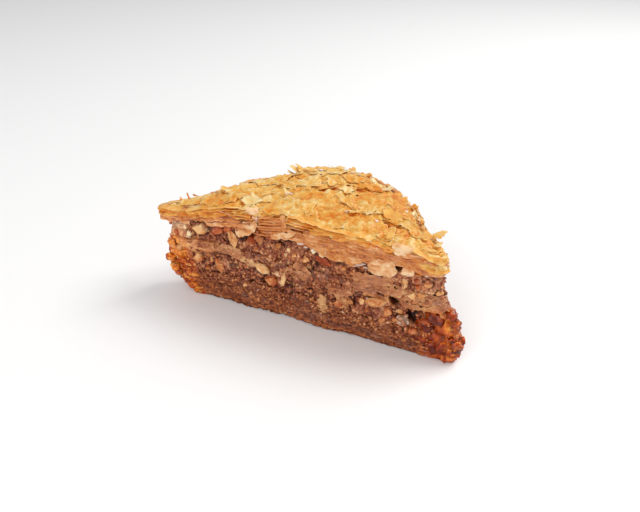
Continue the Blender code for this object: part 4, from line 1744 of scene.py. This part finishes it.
def flap(corners, stand, bulge, tone, rag_size, seed):
    """A torn end of leaf between four corners, with its grid's square rounded to an oval first."""
    piece = flat_grid("flap", 26, 18)
    unit = read_points(piece)
    across, down = 2.0 * unit[:, 0], -2.0 * unit[:, 1]
    u = 0.5 + 0.5 * across * np.sqrt(1.0 - 0.32 * down ** 2)
    v = 0.5 + 0.5 * down * np.sqrt(1.0 - 0.32 * across ** 2)
    top_left, top_right, low_right, low_left = (np.array(corner) for corner in corners)
    upper = top_left + u[:, None] * (top_right - top_left)
    lower = low_left + u[:, None] * (low_right - low_left)
    face = upper + v[:, None] * (lower - upper)
    guess = np.column_stack([face[:, 0], np.zeros(len(face)), face[:, 1]]) * MM
    border = np.maximum(np.abs(across), np.abs(down)) ** 3
    face += rag_size * plan_shift(guess, 1.6, seed)[:, :2] * border[:, None]
    left = front_surface(*(top_left + low_left) / 2.0)
    right = front_surface(*(top_right + low_right) / 2.0)
    ripple = noise_at(guess * [0.7, 1.0, 1.6], 2.0, seed + 2)
    fine = noise_at(guess * [0.7, 1.0, 1.6], 0.8, seed + 3)
    out = (stand * (0.2 + 0.8 * v) + bulge * np.sin(math.pi * u) * np.sin(math.pi * (0.2 + 0.7 * v))
           + 0.45 * ripple + 0.15 * fine) * MM
    write_points(piece, np.column_stack([face[:, 0] * MM, left + u * (right - left) - out, face[:, 1] * MM]))
    # Painted shade: the ripple valleys darken.
    write_values(piece, tone=tone + 0.35 * ripple + 0.2 * fine, hollow=clamp(-0.6 * ripple - 0.1, 0.4))
    trim_sheet(piece, np.full(len(unit), True), rounds=0, edge_highlight=0.15)
    return thicken(piece, 0.16 * MM)


flaps = [flap(*row, 301 + 7 * index) for index, row in enumerate(FLAPS)]
finish_piece(join_pieces(flaps, "hanging_flaps"), pressed_material, "baked_flakes")
flaps = [flap(*row, 401 + 7 * index) for index, row in enumerate(SOFT_FLAPS)]
finish_piece(join_pieces(flaps, "soft_flaps"), soft_material, "soft_pastry")

# %% [markdown]
# ## Where the knife went straight through
#
# Left of the middle the blade cut a few leaves clean, and they show as straight level lines. Each is
# a grid laid flat across the cut with its front edge just proud of the face, then thickened.

# %% Clean-cut leaves


def cut_sheet(index):
    """One clean-cut leaf of the stack, counted from below."""
    piece = flat_grid("sheet", 40, 5)
    unit = read_points(piece)
    along = unit[:, 0] + 0.5
    x = np.interp(along, (0.0, 1.0), STACK_X) + 0.5 * (hashed(index, 71) - 0.5)
    z = STACK_LEFT + along * (STACK_RIGHT - STACK_LEFT) + index
    edge = np.array([front_surface(*place) for place in zip(x, z)])
    guess = np.column_stack([x * MM, np.full(len(x), index * 0.01), np.zeros(len(x))])
    z += 0.28 * noise_at(guess, 3.0, 72) + 0.12 * noise_at(guess, 1.0, 73)
    stand = 0.55 + 0.25 * noise_at(guess, 2.0, 74)
    y = edge + (2.4 * (unit[:, 1] + 0.5) - stand) * MM
    write_points(piece, np.column_stack([x * MM, y, z * MM]))
    # Painted shade: each sheet darkens towards its back, inside the cut.
    write_values(piece, tone=0.54 + 0.3 * noise_at(guess, 2.0, 75) + 0.12 * (hashed(index, 76) - 0.5),
                 hollow=ease((unit[:, 1] + 0.32) / 0.2) * 0.7)
    return thicken(piece, 0.42 * MM)


sheets = [cut_sheet(index) for index in range(STACK_SHEETS)]
finish_piece(join_pieces(sheets, "clean_cut_leaves"), pressed_material, "baked_flakes", "top_pastry")

# %% [markdown]
# ## Beads of syrup
#
# Where syrup has not soaked in it stands in tiny clear beads and threads, and these catch the light
# as white dots. A bead is a ball pressed flat against the side, of a smooth material whose pale,
# near-white colour paints that glint in place of clear syrup. A few stand at places that show, and
# the rest are strewn at random over the layers.

# %% Syrup beads on the sides
FACE_BEADS = (
    # x, z, length, height, tone (mm), on the long cut face
    (0.2, 30.0, 2.6, 1.2, 0.7),
    (1.8, 29.2, 1.6, 0.9, 0.6),
    (4.2, 28.8, 1.4, 1.6, 0.9),
    (17.2, 26.4, 3.0, 0.5, 0.6),
    (18.6, 27.2, 2.6, 0.5, 0.7),
    (19.6, 28.0, 2.0, 0.5, 0.5),
    (20.8, 26.8, 1.8, 0.5, 0.6),
    (33.6, 28.0, 2.0, 0.7, 0.6),
    (39.0, 29.0, 1.4, 0.6, 0.6),
    (-44.6, 26.8, 1.8, 0.9, 0.4),
    (-46.4, 27.4, 1.4, 0.8, 0.4),
    (-14.4, 35.2, 0.9, 1.5, 0.4),
)
TOP_BEADS = ((-10.5, -9.8, 1.6), (-9.6, -8.6, 1.2), (1.0, 12.3, 1.8), (3.0, 12.6, 1.6), (6.4, 11.6, 1.4),
             (-13.5, 5.6, 1.2), (17.6, 7.4, 1.2), (27.0, -4.0, 1.0), (11.0, -13.4, 1.0), (21.0, -15.0, 1.2))
GREY_X, GREY_Z, GREY_BEADS = 33.8, 11.6, 20
SMALL_BEADS = 60

# Painted highlight: the beads are real, but their near-white colour stands for the glint on clear syrup.
bead_glint_material = food_material(
    "syrup_beads", ((0.0, 176, 112, 76), (0.5, 206, 168, 146), (1.0, 240, 226, 218)),
    (120, 60, 30), 900.0, 0.00002, 0.26, 0.14, 0.6, 0.002, 0.4, 0.02, shine=0.4)
bead = unit_ball("bead", 2)
write_values(bead, tone=np.zeros(len(bead.data.vertices)))
beads = []
for x, z, length, height, tone in FACE_BEADS:
    matrix = side_frame(*layer_at(x, z), -0.45 * MM) @ turned(8) @ sized(length, height, 0.8)
    beads.append((bead, matrix, tone, 0.0))
rng = random.Random(31)
for _ in range(GREY_BEADS):
    at = layer_at(GREY_X + rng.gauss(0.0, 0.9), GREY_Z + rng.gauss(0.0, 0.8))
    size = rng.uniform(0.9, 2.2)
    matrix = side_frame(*at, -rng.uniform(0.3, 0.8) * MM) @ turned(rng.uniform(0, 360), 20, 20)
    beads.append((bead, matrix @ sized(size, 0.7 * size, 0.5 * size), rng.uniform(-0.1, 0.4), 0.0))
for index in range(SMALL_BEADS):
    node = ("lower_nut_filling", "upper_nut_filling", "base_pastry", "middle_pastry")[index % 4]
    size = rng.uniform(0.25, 0.6)
    frame_here = side_frame(shapes[node], rng.random(), rng.random(), -0.45 * MM)
    matrix = frame_here @ turned(rng.uniform(0, 360)) @ sized(size * rng.uniform(1.0, 2.2), size, 0.6 * size)
    beads.append((bead, matrix, rng.uniform(0.1, 0.6), 0.0))
print(len(beads), "beads on the sides")

# %% [markdown]
# ## Loose flakes
#
# Broken bits of the top leaf lie about on the crust. A flake is a small grid trimmed by a few cuts
# in edit mode, curled, and thickened. Rays against the cracked leaves say how high each one lies,
# and the last beads, which stand on the crust, are set down by the same rays.

# %% Flake masters
FLAKE_CUTS = (
    # seed, curl, cuts (angle in degrees, distance)
    (1, 0.5, ((30, 0.38), (150, 0.36), (260, 0.4))),
    (2, 0.25, ((10, 0.42), (80, 0.34), (200, 0.38), (300, 0.4))),
    (3, 0.8, ((45, 0.3), (170, 0.42), (250, 0.3))),
    (4, -0.3, ((0, 0.4), (60, 0.4), (120, 0.3), (230, 0.36))),
    (5, 0.6, ((20, 0.44), (100, 0.22), (190, 0.4), (280, 0.24))),
    (6, 0.3, ((0, 0.46), (38, 0.36), (72, 0.44), (118, 0.32), (165, 0.46), (205, 0.35), (250, 0.42),
              (300, 0.33))),
)


def flake_master(seed, curl, cuts):
    """A small sheet trimmed along a few lines, crumpled and curled."""
    piece = flat_grid("flake", 9, 8)
    bpy.ops.object.mode_set(mode="EDIT")
    for angle, distance in cuts:
        bpy.ops.mesh.select_all(action="SELECT")
        normal = Vector((math.cos(math.radians(angle)), math.sin(math.radians(angle)), 0.0))
        bpy.ops.mesh.bisect(plane_co=normal * distance, plane_no=normal, clear_outer=True)
    bpy.ops.object.mode_set(mode="OBJECT")
    points = read_points(piece)
    crumple = knocks(points, 3.0, seed)[:, 0] + 0.4 * knocks(points, 8.0, seed)[:, 1]
    ragged = knocks(points, 5.0, seed + 20)
    points[:, 2] = curl * (points[:, 0] ** 2 - 0.1) + 0.12 * crumple
    points[:, :2] += 0.18 * ragged[:, :2]
    write_points(piece, points)
    # Painted highlight: the tone rises towards the flake's rim, like the pale torn edges of the leaves.
    write_values(piece, tone=0.3 * crumple + 0.25 * np.hypot(points[:, 0], points[:, 1]))
    return thicken(piece, 0.035)


*flake_masters, broad_flake = (flake_master(*row) for row in FLAKE_CUTS)
print(len(FLAKE_CUTS), "flake masters")

# %% Beads on the crust
top_tree = ray_tree(*(bpy.data.objects[row[0]].data for row in CRACKED))


def resting(x, y):
    """Place and normal where a flake dropped at x, y comes to lie, or None twice past the rim."""
    return top_tree.ray_cast(Vector((x, y, 0.1)), -UP)[:2]


for x, y, size in TOP_BEADS:
    place, _ = resting(x * MM, y * MM)
    matrix = Matrix.Translation(place + UP * 0.2 * MM) @ sized(size, 0.7 * size, 0.6)
    beads.append((bead, matrix, 1.0, 0.0))
finish_piece(strew("syrup_beads", beads, [bead]), bead_glint_material, "soaked_pastry")

# %% Dropping the flakes
SMALL_FLAKES = 46
END_FLAKES = 90
RAISED_FLAKES = (
    # x, y, length, width, turn, tip, how high it stands (mm, degrees), tone
    (-15.4, 8.8, 6.0, 4.8, 12, 28, 2.3, 0.72),
    (-12.6, 9.6, 8.0, 3.6, 4, 16, 1.2, 0.62),
    (-8.6, 10.0, 9.0, 4.0, 6, 5, 0.6, 0.64),
    (-5.0, 10.4, 9.0, 4.0, -4, 0, 0.3, 0.6),
    (-16.4, 7.6, 5.0, 4.8, 26, 26, 1.5, 0.76),
    (-19.8, -16.2, 8.4, 7.4, 150, 0, 0.6, 0.86),
    (24.0, -9.4, 9.6, 7.6, -10, 0, 0.4, 0.5),
    (39.5, -13.2, 2.8, 3.6, 80, -50, 0.5, 0.6),
    (40.2, -18.4, 2.8, 3.2, 0, -30, 0.9, 0.74),
    (-44.0, -14.9, 3.8, 1.2, 150, -48, 1.4, 0.12),
    (-41.6, -15.0, 3.0, 1.6, 100, 35, 0.9, 0.10),
    (-45.6, -16.4, 2.6, 1.8, 10, 25, 0.8, 0.24),
    (1.0, 12.4, 7.0, 2.6, 0, 3, 0.2, 0.76),
    (6.0, 11.8, 6.0, 2.4, 5, -6, 0.3, 0.6),
    (13.0, 8.6, 5.0, 3.4, -30, 26, 0.8, 0.84),
    (17.6, 6.2, 4.4, 3.4, 0, -22, 0.7, 0.92),
    (-10.6, -9.6, 2.4, 2.0, 20, 24, 0.8, 1.05),
    (-30.6, -12.4, 5.0, 3.4, 15, 16, 0.6, 0.80),
    (-7.0, 9.0, 7.0, 3.0, 8, 14, 0.7, 0.72),
    (30.0, -2.6, 5.0, 3.6, -40, 20, 0.7, 0.86),
)


def lie_of_crust(place):
    """Turn that lays a broad flake along the crust's general slope, found 3 mm to either side."""
    heights = [crust_shape.height_at(place.x + dx * MM, place.y + dy * MM) or place.z
               for dx, dy in ((3, 0), (-3, 0), (0, 3), (0, -3))]
    slope = Vector((heights[1] - heights[0], heights[3] - heights[2], 6.0 * MM))
    return slope.normalized().to_track_quat("Z", "Y").to_matrix().to_4x4()


flakes = []
for index, (x, y, length, width, turn, tip, height, tone) in enumerate(RAISED_FLAKES):
    place, _ = resting(x * MM, y * MM)
    if place is None:
        place = Vector((x * MM, y * MM, box_high.z - 3.0 * MM))
    broad = width > 5.0
    slope = lie_of_crust(place) if broad else Matrix.Identity(4)
    matrix = (Matrix.Translation(place + UP * height * MM) @ slope @ turned(turn, 0, tip)
              @ sized(length, width, 4.5 if broad else 2.4))
    flakes.append((broad_flake if broad else flake_masters[index % len(flake_masters)], matrix, tone, 0.0))
rng = random.Random(21)
while len(flakes) < SMALL_FLAKES + len(RAISED_FLAKES):
    place, normal = resting(rng.uniform(box_low.x, box_high.x), rng.uniform(box_low.y, box_high.y))
    if place is None:
        continue
    size = rng.uniform(1.2, 2.4) if rng.random() < 0.7 else rng.uniform(2.4, 4.4)
    lying = normal.lerp(UP, 0.4).to_track_quat("Z", "Y").to_matrix().to_4x4()
    tips = turned(rng.uniform(0, 360), rng.gauss(0, 12), rng.gauss(0, 12))
    lifted = Matrix.Translation(place + UP * rng.uniform(0.05, 0.3) * MM)
    matrix = lifted @ lying @ tips @ sized(size, size * 0.8, 2.4)
    flakes.append((rng.choice(flake_masters), matrix, rng.uniform(0.4, 0.7), 0.0))
for _ in range(END_FLAKES):
    share = (face_share(crust_shape, 41.5) + rng.uniform(0.0, 0.15)) % 1.0
    size = rng.uniform(1.0, 3.0)
    tips = turned(rng.uniform(-40, 40), rng.gauss(-20, 22), rng.gauss(0, 22))
    frame_here = side_frame(crust_shape, share, rng.uniform(0.1, 0.95), -rng.uniform(0.3, 1.0) * MM)
    matrix = frame_here @ tips @ sized(size * 1.3, size * 0.8, 2.0)
    flakes.append((rng.choice(flake_masters), matrix, rng.uniform(0.4, 0.8), 0.0))
finish_piece(strew("loose_flakes", flakes, [*flake_masters, broad_flake]), crust_material, "baked_flakes")
